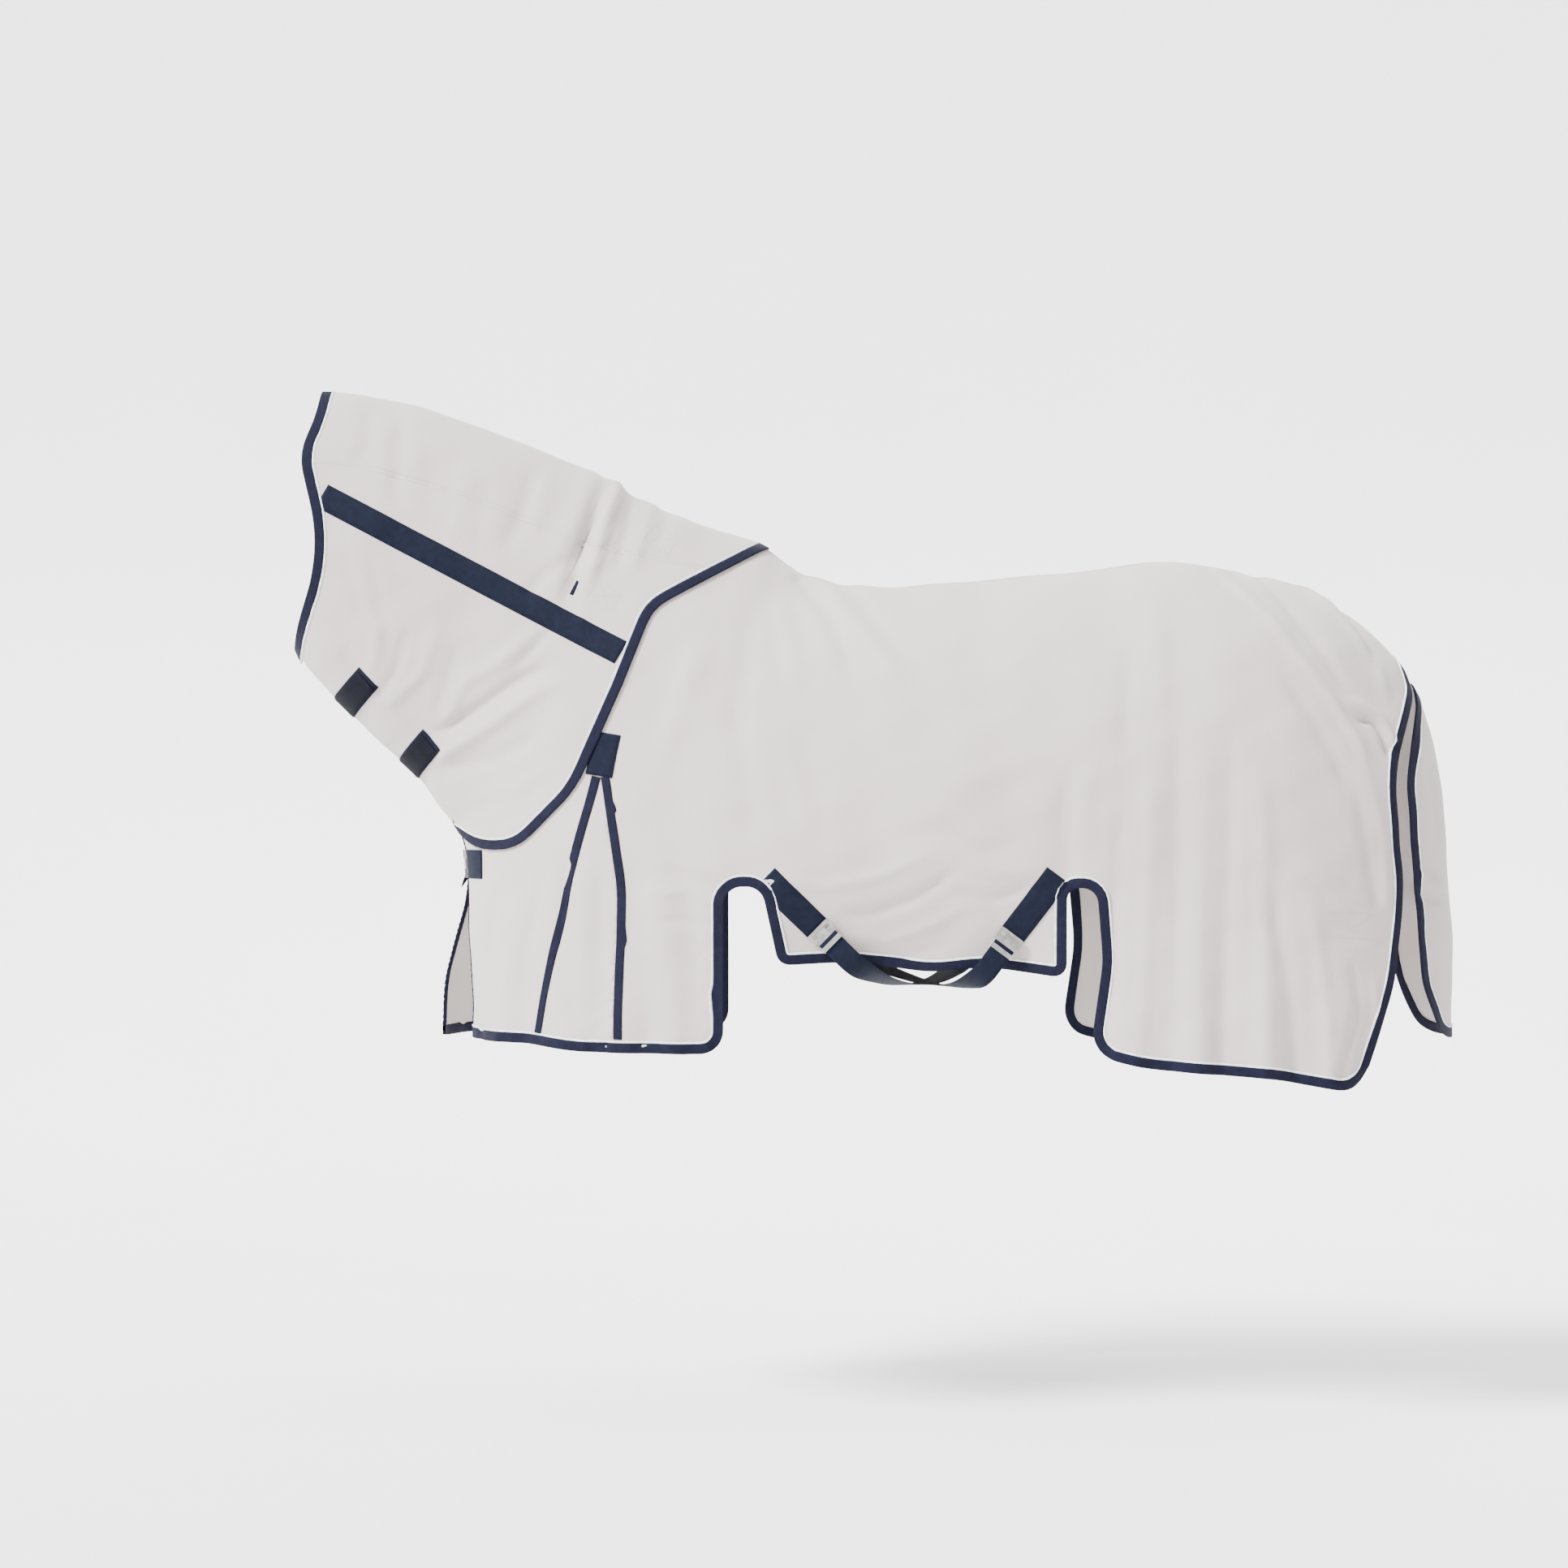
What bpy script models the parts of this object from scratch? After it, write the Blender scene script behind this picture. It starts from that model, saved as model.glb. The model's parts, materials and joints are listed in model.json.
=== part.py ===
"""Fly sheet with a detachable neck cover, in the shape it has on a standing horse.

Metres, +Z up.  The head end is at -X, the tail at +X, and the sheet's left side is at -Y.
The origin is on the spine at the withers, on the lining side of the cloth.

All the cloth follows one smooth form: half_width(x, z) says how far the cloth stands from
the middle plane at each point of the side view.  Each layer of cloth is a thin closed sheet
on that form, and each piece is a sheet cut by straight prisms, so neighbours nest exactly.
"""
import math

import bpy
import bmesh
import numpy as np
from mathutils import Matrix, Vector
from mathutils.bvhtree import BVHTree

# ---------------------------------------------------------------- driving dimensions
CLOTH = 0.002              # thickness of the mesh cloth and of the bindings
WEBBING = 0.0016           # thickness of straps, tabs and the neck band
GAP = 0.0003               # clearance between layers that lie on each other
SEAM = 0.0005              # clearance between two pieces sewn edge to edge
BINDING = 0.018            # width of the navy edge binding
SPINE_TAPE = 0.040         # width of the tape under the spine seam
SURCINGLE = 0.042          # width of the belly straps
TAB_WIDTH = 0.050          # width of the stitched webbing tabs
THROAT_GAP = 0.024         # space between the neck cover's two throat edges
THROAT_STRAP = 0.054       # width of the throat closures
NECK_BAND = 0.048          # width of the band along the neck cover
WIRE = 0.0036              # wire of the rings and loops
PLATE = 0.0024             # thickness of hooks and slot plates
HOOK_BAR = 0.006           # width of the hooks' bars, along the strap
PLATE_RIM = 0.005          # metal left at the ends of a slot plate's slot
SLOT_CLEAR = 0.0012        # clearance of a hook's lip to the ends of its slot
LIP_SHARE = 0.9            # how much of the tongue's width the lip has
LIP_DEPTH = 0.0034         # how far the lip reaches down from the tongue's middle plane
END_MARGIN = 0.001         # how far inside a strip's end its cloth is measured
SLIDER_ALONG = 0.012       # how far along the strap a slider sits at rest
SLIDER_CLEAR = 0.0006      # clearance of a slider to its strap
SLIDER_LENGTH = 0.009      # length of a slider along its strap
STRAIGHT_RUN = 0.050       # straight length at each end of a belly strap
BELLY_PULL = 0.120         # how far a belly strap's curve keeps its first direction
TILT = 0.17                # angle at which loops and plates lean away from the cloth
METAL_RAISE = 0.0006       # extra room between flat metal and the cloth beside it
CROSS_LEAN = 0.0064 / 0.042  # how much height a leaning belly strap takes per width
CHEST_TAB_START = 0.0235   # where the chest tabs end, out from the middle
GIRTH_AXIS_Z = -0.400      # height of the line that the belly straps wrap round
FLAP_SWING = 0.058         # how far the right chest flap hangs forward of the left one

LOOP_LENGTH = 0.020        # length of the metal loops, along the strap
HOOK_TONGUE = 0.020        # width of the hooks' tongues
SLOT = 0.007               # width of the slots that the hooks drop into
PEEL_EDGE = 0.0115         # where the throat straps end, out from the middle
LINK_WIDTH = 0.030         # width of the tabs that link the neck cover to the sheet
LEG_TAB = 0.040            # width of the tabs for the leg straps

RING_DEPTH_CLEAR = 0.0002  # room between a leg ring and its tab, into the sheet
# Height between the two belly straps where they cross.
CROSS = WEBBING + SURCINGLE * CROSS_LEAN
HOOK_REACH = LOOP_LENGTH + 3 * GAP + HOOK_BAR   # from a slot plate's start past its hook

# Heights of the layers over the form.
TAB_LOW = CLOTH + GAP
TAB_HIGH = TAB_LOW + WEBBING
NECK_LOW = TAB_HIGH + GAP
NECK_HIGH = NECK_LOW + CLOTH
BAND_LOW = NECK_HIGH + GAP
BAND_HIGH = BAND_LOW + WEBBING
UNDER_LOW = -GAP - WEBBING
UNDER_HIGH = -GAP

COLUMNS_PER_STATION = 2    # grid columns of the cloth between two stations
ROWS = 12                  # grid rows of the cloth from the topline down
REACH = 0.6                # half length of a prism across the sheet

# The side view of the topline: poll, crest, withers, back, croup, dock and tail flap.
TOPLINE = [
    (-0.960, 0.336), (-0.885, 0.337), (-0.820, 0.333), (-0.757, 0.322), (-0.633, 0.286),
    (-0.509, 0.242), (-0.384, 0.190), (-0.259, 0.122), (-0.134, 0.074), (-0.036, 0.040),
    (0.022, -0.003), (0.080, -0.026), (0.210, -0.034), (0.365, -0.024), (0.521, -0.011),
    (0.640, 0.004), (0.755, 0.012), (0.870, -0.004), (0.989, -0.033), (1.067, -0.078),
    (1.145, -0.142), (1.195, -0.208), (1.228, -0.275), (1.253, -0.371), (1.264, -0.480),
    (1.274, -0.616), (1.279, -0.760), (1.279, -0.900), (1.276, -1.020),
]
# The side view of the throat, breast and chest line, from the head down.
CHESTLINE = [
    (-0.965, -0.110), (-0.925, -0.160), (-0.872, -0.226), (-0.817, -0.281), (-0.750, -0.345),
    (-0.690, -0.402), (-0.652, -0.455), (-0.620, -0.500), (-0.607, -0.545), (-0.603, -0.620),
    (-0.600, -0.720), (-0.597, -0.830), (-0.596, -0.960),
]
# Half widths of the form: side view x, then (z, half width) down the side.
GIRTHS = [
    (-0.960, [(0.240, 0.082), (0.090, 0.112), (-0.030, 0.092)]),
    (-0.880, [(0.250, 0.086), (0.110, 0.120), (-0.040, 0.112), (-0.150, 0.078)]),
    (-0.750, [(0.230, 0.092), (0.080, 0.130), (-0.090, 0.132), (-0.240, 0.096)]),
    (-0.620, [(0.190, 0.094), (0.040, 0.135), (-0.140, 0.142), (-0.320, 0.112)]),
    (-0.500, [(0.130, 0.105), (-0.030, 0.148), (-0.220, 0.165), (-0.420, 0.165),
              (-0.620, 0.172), (-0.920, 0.195)]),
    (-0.380, [(0.080, 0.115), (-0.080, 0.170), (-0.280, 0.212), (-0.480, 0.238),
              (-0.680, 0.255), (-0.920, 0.272)]),
    (-0.220, [(0.000, 0.125), (-0.140, 0.195), (-0.340, 0.250), (-0.560, 0.288),
              (-0.900, 0.318)]),
    (-0.040, [(-0.060, 0.118), (-0.180, 0.208), (-0.360, 0.282), (-0.580, 0.312),
              (-0.880, 0.318)]),
    (0.140, [(-0.100, 0.148), (-0.220, 0.245), (-0.400, 0.312), (-0.600, 0.318),
             (-0.780, 0.262)]),
    (0.320, [(-0.090, 0.160), (-0.210, 0.262), (-0.400, 0.330), (-0.600, 0.326),
             (-0.790, 0.262)]),
    (0.500, [(-0.070, 0.162), (-0.200, 0.268), (-0.400, 0.328), (-0.600, 0.326),
             (-0.850, 0.318)]),
    (0.680, [(-0.050, 0.160), (-0.180, 0.266), (-0.380, 0.322), (-0.650, 0.336),
             (-0.980, 0.350)]),
    (0.860, [(-0.060, 0.152), (-0.190, 0.250), (-0.390, 0.306), (-0.650, 0.326),
             (-0.980, 0.344)]),
    (1.020, [(-0.110, 0.134), (-0.240, 0.212), (-0.420, 0.262), (-0.680, 0.284),
             (-0.990, 0.304)]),
    (1.140, [(-0.240, 0.128), (-0.420, 0.190), (-0.680, 0.212), (-0.990, 0.228)]),
    (1.220, [(-0.450, 0.112), (-0.700, 0.142), (-0.990, 0.150)]),
]
# Columns of the cloth grid: a point near the topline and one near the lower edge.
STATIONS = [
    ((-0.940, 0.337), (-0.950, -0.130)), ((-0.760, 0.322), (-0.842, -0.256)),
    ((-0.570, 0.264), (-0.730, -0.364)), ((-0.390, 0.192), (-0.640, -0.472)),
    ((-0.250, 0.118), (-0.603, -0.600)), ((-0.130, 0.072), (-0.598, -0.760)),
    ((-0.040, 0.042), (-0.596, -0.930)), ((0.040, -0.012), (-0.420, -0.930)),
    ((0.140, -0.033), (-0.160, -0.930)), ((0.270, -0.030), (0.080, -0.800)),
    ((0.430, -0.020), (0.360, -0.800)), ((0.600, -0.001), (0.600, -1.000)),
    ((0.780, 0.011), (0.780, -1.000)), ((0.960, -0.025), (0.930, -1.000)),
    ((1.120, -0.120), (1.040, -1.000)), ((1.215, -0.245), (1.110, -1.000)),
    ((1.262, -0.460), (1.170, -1.000)), ((1.278, -0.760), (1.230, -1.000)),
    ((1.280, -0.940), (1.262, -1.000)),
]
THROAT_STATIONS = 6        # so many columns from the head on end on the chest line

# Edges in the side view: x, z and the radius of the corner there.
LOWER_EDGE = [
    (-0.800, -0.893, 0), (-0.480, -0.893, 0.2), (-0.380, -0.904, 0.3), (-0.112, -0.905, 0.042),
    (-0.112, -0.598, 0.034), (-0.041, -0.598, 0.034), (-0.010, -0.743, 0.024),
    (0.110, -0.737, 0.3), (0.275, -0.757, 0.3), (0.370, -0.745, 0.3), (0.518, -0.766, 0.022),
    (0.518, -0.600, 0.022), (0.574, -0.600, 0.030), (0.585, -0.735, 0.2), (0.560, -0.905, 0.055),
    (0.660, -0.930, 0.4), (0.900, -0.950, 0.5), (1.062, -0.982, 0.060), (1.135, -0.780, 0.4),
    (1.158, -0.600, 0.4), (1.140, -0.390, 0.2), (1.192, -0.240, 0.05), (1.155, -0.100, 0),
]
NECKLINE = [
    (-0.125, 0.200, 0), (-0.150, 0.010, 0.06), (-0.320, -0.110, 0.12), (-0.390, -0.320, 0.3),
    (-0.500, -0.470, 0.2), (-0.800, -0.510, 0),
]
HEAD_EDGE = [
    (-0.882, 0.420, 0), (-0.888, 0.290, 0.2), (-0.918, 0.215, 0.12), (-0.872, 0.035, 0.3),
    (-0.935, -0.150, 0.2), (-0.950, -0.260, 0),
]
NECK_REAR_EDGE = [
    (0.060, 0.100, 0), (-0.036, 0.036, 0.3), (-0.245, -0.082, 0.08), (-0.300, -0.225, 0.4),
    (-0.385, -0.420, 0.2), (-0.500, -0.535, 0.12), (-0.585, -0.532, 0.08), (-0.680, -0.440, 0),
]
CREST_SEAM = [
    (-1.000, 0.196, 0), (-0.830, 0.200, 0.4), (-0.600, 0.134, 0.5), (-0.380, 0.044, 0.4),
    (0.060, -0.055, 0),
]
NECK_BAND_LINE = ((-0.888, 0.142), (-0.288, -0.175))
GUSSET_FRONT = [(-0.342, -0.398, 0), (-0.395, -0.600, 0.5), (-0.475, -0.960, 0)]
GUSSET_REAR = [(-0.338, -0.398, 0), (-0.305, -0.600, 0.4), (-0.312, -0.960, 0)]
GUSSET_TAB = [(-0.345, -0.296), (-0.305, -0.337), (-0.316, -0.3955), (-0.368, -0.3955),
              (-0.376, -0.350)]
TAIL_FLAP_EDGE = [
    (1.205, -0.100, 0), (1.200, -0.262, 0.04), (1.168, -0.400, 0.2), (1.185, -0.640, 0.5),
    (1.200, -0.790, 0.3), (1.246, -0.892, 0.05), (1.400, -0.900, 0),
]
TAIL_FLAP_HINGE = (1.204, -0.219)
DOCK = (1.165, 1.232)      # from where to where the dock reinforcement runs
# Straight pieces in the side view: where each starts and ends.
SURCINGLE_TABS = {
    "front": ((-0.034, -0.582), (0.060, -0.674)),
    "rear": ((0.502, -0.577), (0.421, -0.685)),
}
THROAT_STRAPS = {
    "upper": ((-0.784, -0.205), (-0.855, -0.275)),
    "lower": ((-0.664, -0.324), (-0.728, -0.390)),
}
NECK_LINK = ((-0.396, -0.041), (-0.338, -0.067))
LEG_LINK = ((1.042, -0.662), (1.092, -0.670))
CHEST_CLOSURE = (-0.590, -0.535)   # from where to where the chest tabs reach in z
CHEST_TAB_END = 0.092              # how far round the chest a tab reaches from the middle
BELLY = (0.255, -0.795)            # where the belly straps cross, in the side view

CLOTH_COLOUR = (0.73, 0.69, 0.68)
LINING_COLOUR = (0.78, 0.75, 0.77)
NAVY = (0.020, 0.024, 0.055)
STRAP_NAVY = (0.010, 0.013, 0.028)
STEEL = (0.42, 0.42, 0.44)


# ---------------------------------------------------------------- scene and materials
def clear_scene():
    for thing in list(bpy.data.objects):
        bpy.data.objects.remove(thing, do_unlink=True)


def make_collection(name):
    group = bpy.data.collections.new(name)
    bpy.context.scene.collection.children.link(group)
    return group


def make_material(name, colour, roughness, metallic=0.0):
    material = bpy.data.materials.new(name)
    material.use_nodes = True
    shader = material.node_tree.nodes["Principled BSDF"]
    shader.inputs["Base Color"].default_value = (*colour, 1.0)
    shader.inputs["Roughness"].default_value = roughness
    shader.inputs["Metallic"].default_value = metallic
    material.diffuse_color = (*colour, 1.0)
    return material


# ---------------------------------------------------------------- the form
class Form:
    """A thin plate spline through the squares of the half widths, which is zero along the
    topline and the chest line, so the cloth turns over both in a round."""

    def __init__(self, topline, chestline, girths):
        knots = [(x, z, 0.0) for x, z in topline + chestline]
        knots += [(x, z, width * width) for x, row in girths for z, width in row]
        knots = np.array(knots)
        self.centres = knots[:, :2]
        count = len(knots)
        system = np.zeros((count + 3, count + 3))
        system[:count, :count] = self.kernel(self.centres)
        system[:count, count] = 1.0
        system[:count, count + 1:] = self.centres
        system[count:, :count] = system[:count, count:].T
        self.weights = np.linalg.solve(system, np.append(knots[:, 2], np.zeros(3)))

    def kernel(self, points):
        apart = points[:, None, :] - self.centres[None, :, :]
        square = (apart ** 2).sum(axis=2)
        return 0.5 * square * np.log(square + 1e-18)

    def value(self, points):
        points = np.atleast_2d(points)
        flat = np.hstack([np.ones((len(points), 1)), points])
        count = len(self.centres)
        return self.kernel(points) @ self.weights[:count] + flat @ self.weights[count:]

    def slope(self, points):
        points = np.atleast_2d(points)
        apart = points[:, None, :] - self.centres[None, :, :]
        square = (apart ** 2).sum(axis=2)
        pull = (np.log(square + 1e-18) + 1.0)[:, :, None] * apart
        count = len(self.centres)
        return np.einsum("pkd,k->pd", pull, self.weights[:count]) + self.weights[count + 1:]

    def half_width(self, x, z):
        return math.sqrt(max(float(self.value([(x, z)])[0]), 0.0))

    def onto_outline(self, x, z):
        """The nearest point of the side view's outline, where the half width is zero."""
        point = np.array([x, z])
        for _ in range(12):
            slope = self.slope(point)[0]
            point = point - self.value(point)[0] * slope / (slope @ slope)
        return float(point[0]), float(point[1])


def smooth_step(value, start, end):
    share = min(max((value - start) / (end - start), 0.0), 1.0)
    return share * share * (3.0 - 2.0 * share)


def chest_swing(side, x, z):
    """How far forward the loose right chest flap hangs at a point of the side view."""
    if side < 0:
        return 0.0
    return -FLAP_SWING * smooth_step(-z, 0.58, 0.84) * smooth_step(-x, 0.34, 0.62)


def surface_point(form, side, x, z, lift=0.0):
    """The point on one side of the cloth form over a side view point, and its normal."""
    width = form.half_width(x, z)
    slope = form.slope([(x, z)])[0]
    normal = Vector((-slope[0], side * 2.0 * width, -slope[1])).normalized()
    point = Vector((x + chest_swing(side, x, z), side * width, z))
    return point + normal * lift, normal


# ---------------------------------------------------------------- cloth sheets
def spread(start, end, share):
    return (start[0] + (end[0] - start[0]) * share, start[1] + (end[1] - start[1]) * share)


def curve_through(points, step):
    """Catmull-Rom points through the given ones, step of them from each to the next."""
    ends = [points[0]] + list(points) + [points[-1]]
    result = []
    for a, b, c, d in zip(ends, ends[1:], ends[2:], ends[3:]):
        a, b, c, d = (np.array(p, dtype=float) for p in (a, b, c, d))
        for index in range(step):
            t = index / step
            result.append(tuple(0.5 * (2 * b + (c - a) * t + (2 * a - 5 * b + 4 * c - d) * t * t
                                       + (3 * b - a - 3 * c + d) * t ** 3)))
    result.append(tuple(points[-1]))
    return result


def column_points(form, top, bottom, closed):
    """Points down one column of the form, evenly spaced along the cloth: (x, z, y)."""
    fine = 90
    chain = []
    for index in range(fine + 1):
        share = index / fine
        share = 0.5 - 0.5 * math.cos(math.pi * share) if closed else share ** 2
        x, z = spread(top, bottom, share)
        chain.append((x, z, form.half_width(x, z)))
    chain[0] = (*top, 0.0)
    if closed:
        chain[-1] = (*bottom, 0.0)
    chain = np.array(chain)
    run = np.append(0.0, np.cumsum(np.linalg.norm(np.diff(chain, axis=0), axis=1)))
    wanted = np.linspace(0.0, run[-1], ROWS + 1)
    return np.stack([np.interp(wanted, run, chain[:, axis]) for axis in range(3)], axis=1)


def make_grid(form):
    """Columns of points (x, z, y) from the head to the tail flap."""
    tops = curve_through([station[0] for station in STATIONS], COLUMNS_PER_STATION)
    feet = curve_through([s[1] for s in STATIONS[:THROAT_STATIONS + 1]], COLUMNS_PER_STATION)
    tail = [s[1] for s in STATIONS[THROAT_STATIONS:]]
    for start, end in zip(tail, tail[1:]):
        for index in range(1, COLUMNS_PER_STATION + 1):
            feet.append(spread(start, end, index / COLUMNS_PER_STATION))
    grid = []
    for number, (top, foot) in enumerate(zip(tops, feet)):
        closed = number <= THROAT_STATIONS * COLUMNS_PER_STATION
        top = form.onto_outline(*top)
        foot = form.onto_outline(*foot) if closed else foot
        grid.append(column_points(form, top, foot, closed))
    return grid


def sheet_column(form, column, side, lift):
    """One column of one side as vectors, lifted off the form along its normals."""
    result = []
    slopes = form.slope(column[:, :2])
    for (x, z, y), slope in zip(column, slopes):
        normal = Vector((-slope[0], side * 2.0 * y, -slope[1])).normalized()
        place = Vector((x + chest_swing(side, x, z), side * max(y, SEAM / 2), z))
        result.append(place + normal * lift)
    return result


def make_sheet(name, form, grid, side, low, high):
    """A closed sheet between two heights over the form, on one side or, for 0, on both."""
    layers = []
    for lift in (low, high):
        if side:
            layers.append([sheet_column(form, column, side, lift) for column in grid])
            continue
        layer = []
        for column in grid:
            right = sheet_column(form, column, 1, lift)
            left = sheet_column(form, column, -1, lift)
            ridge = Vector((right[0].x, 0.0, right[0].z))
            layer.append(list(reversed(left[1:])) + [ridge] + right[1:])
        layers.append(layer)
    mesh = bmesh.new()
    inner, outer = ([[mesh.verts.new(p) for p in column] for column in layer] for layer in layers)
    across, down = len(inner), len(inner[0])
    for u in range(across - 1):
        for v in range(down - 1):
            for layer in (inner, outer):
                a, b, c, d = layer[u][v], layer[u + 1][v], layer[u + 1][v + 1], layer[u][v + 1]
                if not side and v < ROWS:
                    a, b, c, d = d, c, b, a
                mesh.faces.new((a, b, c))
                mesh.faces.new((a, c, d))
    ring = [(u, 0) for u in range(across)] + [(across - 1, v) for v in range(1, down)]
    ring += [(u, down - 1) for u in range(across - 2, -1, -1)]
    ring += [(0, v) for v in range(down - 2, 0, -1)]
    for (u, v), (p, q) in zip(ring, ring[1:] + ring[:1]):
        mesh.faces.new((inner[u][v], inner[p][q], outer[p][q], outer[u][v]))
    bmesh.ops.recalc_face_normals(mesh, faces=mesh.faces)
    data = bpy.data.meshes.new(name)
    mesh.to_mesh(data)
    mesh.free()
    return data


# ---------------------------------------------------------------- outlines and prisms
def rounded(corners, spacing=0.05):
    """The side view path through corners (x, z, radius), with its round corners as arcs."""
    path = []
    for number, (x, z, radius) in enumerate(corners):
        here = Vector((x, z))
        if radius == 0 or number in (0, len(corners) - 1):
            path.append(here)
            continue
        before = (Vector(corners[number - 1][:2]) - here)
        after = (Vector(corners[number + 1][:2]) - here)
        half = before.angle(after) / 2
        reach = min(radius / math.tan(half), 0.48 * before.length, 0.48 * after.length)
        radius = reach * math.tan(half)
        middle = here + (before.normalized() + after.normalized()).normalized() * (
            radius / math.sin(half))
        start = here + before.normalized() * reach
        turn = math.pi - 2 * half
        steps = max(1, round(radius * turn / spacing), round(turn / 0.45))
        sign = 1 if before.cross(after) < 0 else -1
        for index in range(steps + 1):
            arm = start - middle
            arm.rotate(Matrix.Rotation(sign * turn * index / steps, 2))
            path.append(middle + arm)
    return path


def offset(path, distance):
    """The path moved to its left, across its own direction."""
    moved = []
    for number, point in enumerate(path):
        before = path[max(number - 1, 0)]
        after = path[min(number + 1, len(path) - 1)]
        first = (point - before).normalized() if point != before else (after - point).normalized()
        second = (after - point).normalized() if point != after else first
        along = (first + second).normalized()
        stretch = 1.0 / max(along.dot(first), 0.5)
        moved.append(point + Vector((-along.y, along.x)) * distance * stretch)
    return moved


def band(path, near, far):
    return offset(path, near) + list(reversed(offset(path, far)))


def strip_outline(start, end, width):
    """The four corners of a straight strip in the side view."""
    start, end = Vector(start), Vector(end)
    along = (end - start).normalized()
    aside = Vector((-along.y, along.x)) * width / 2
    return [start + aside, start - aside, end - aside, end + aside]


def rounded_rectangle(low, high, corner, steps=3):
    """Points round a rectangle between two corners, with round corners."""
    centres = [(high[0] - corner, high[1] - corner), (low[0] + corner, high[1] - corner),
               (low[0] + corner, low[1] + corner), (high[0] - corner, low[1] + corner)]
    path = []
    for quarter, (x, y) in enumerate(centres):
        for index in range(steps + 1):
            angle = math.pi / 2 * (quarter + index / steps)
            path.append(Vector((x + corner * math.cos(angle), y + corner * math.sin(angle))))
    return path


def add_outline(curve, outline):
    """Adds a closed outline in the curve's own plane."""
    spline = curve.splines.new("POLY")
    spline.points.add(len(outline) - 1)
    for point, place in zip(spline.points, outline):
        point.co = (place[0], place[1], 0.0, 1.0)
    spline.use_cyclic_u = True


def frame_from(origin, heading, normal):
    """A frame with x along the heading and z along the normal."""
    aside = normal.cross(heading).normalized()
    heading = aside.cross(normal).normalized()
    turn = Matrix((heading, aside, normal)).transposed().to_4x4()
    return Matrix.Translation(origin) @ turn


def raised(thickness):
    """The shift that keeps metal of a thickness clear of the cloth under a webbing tab."""
    return Matrix.Translation((0, 0, (thickness - WEBBING) / 2 + METAL_RAISE))


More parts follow.
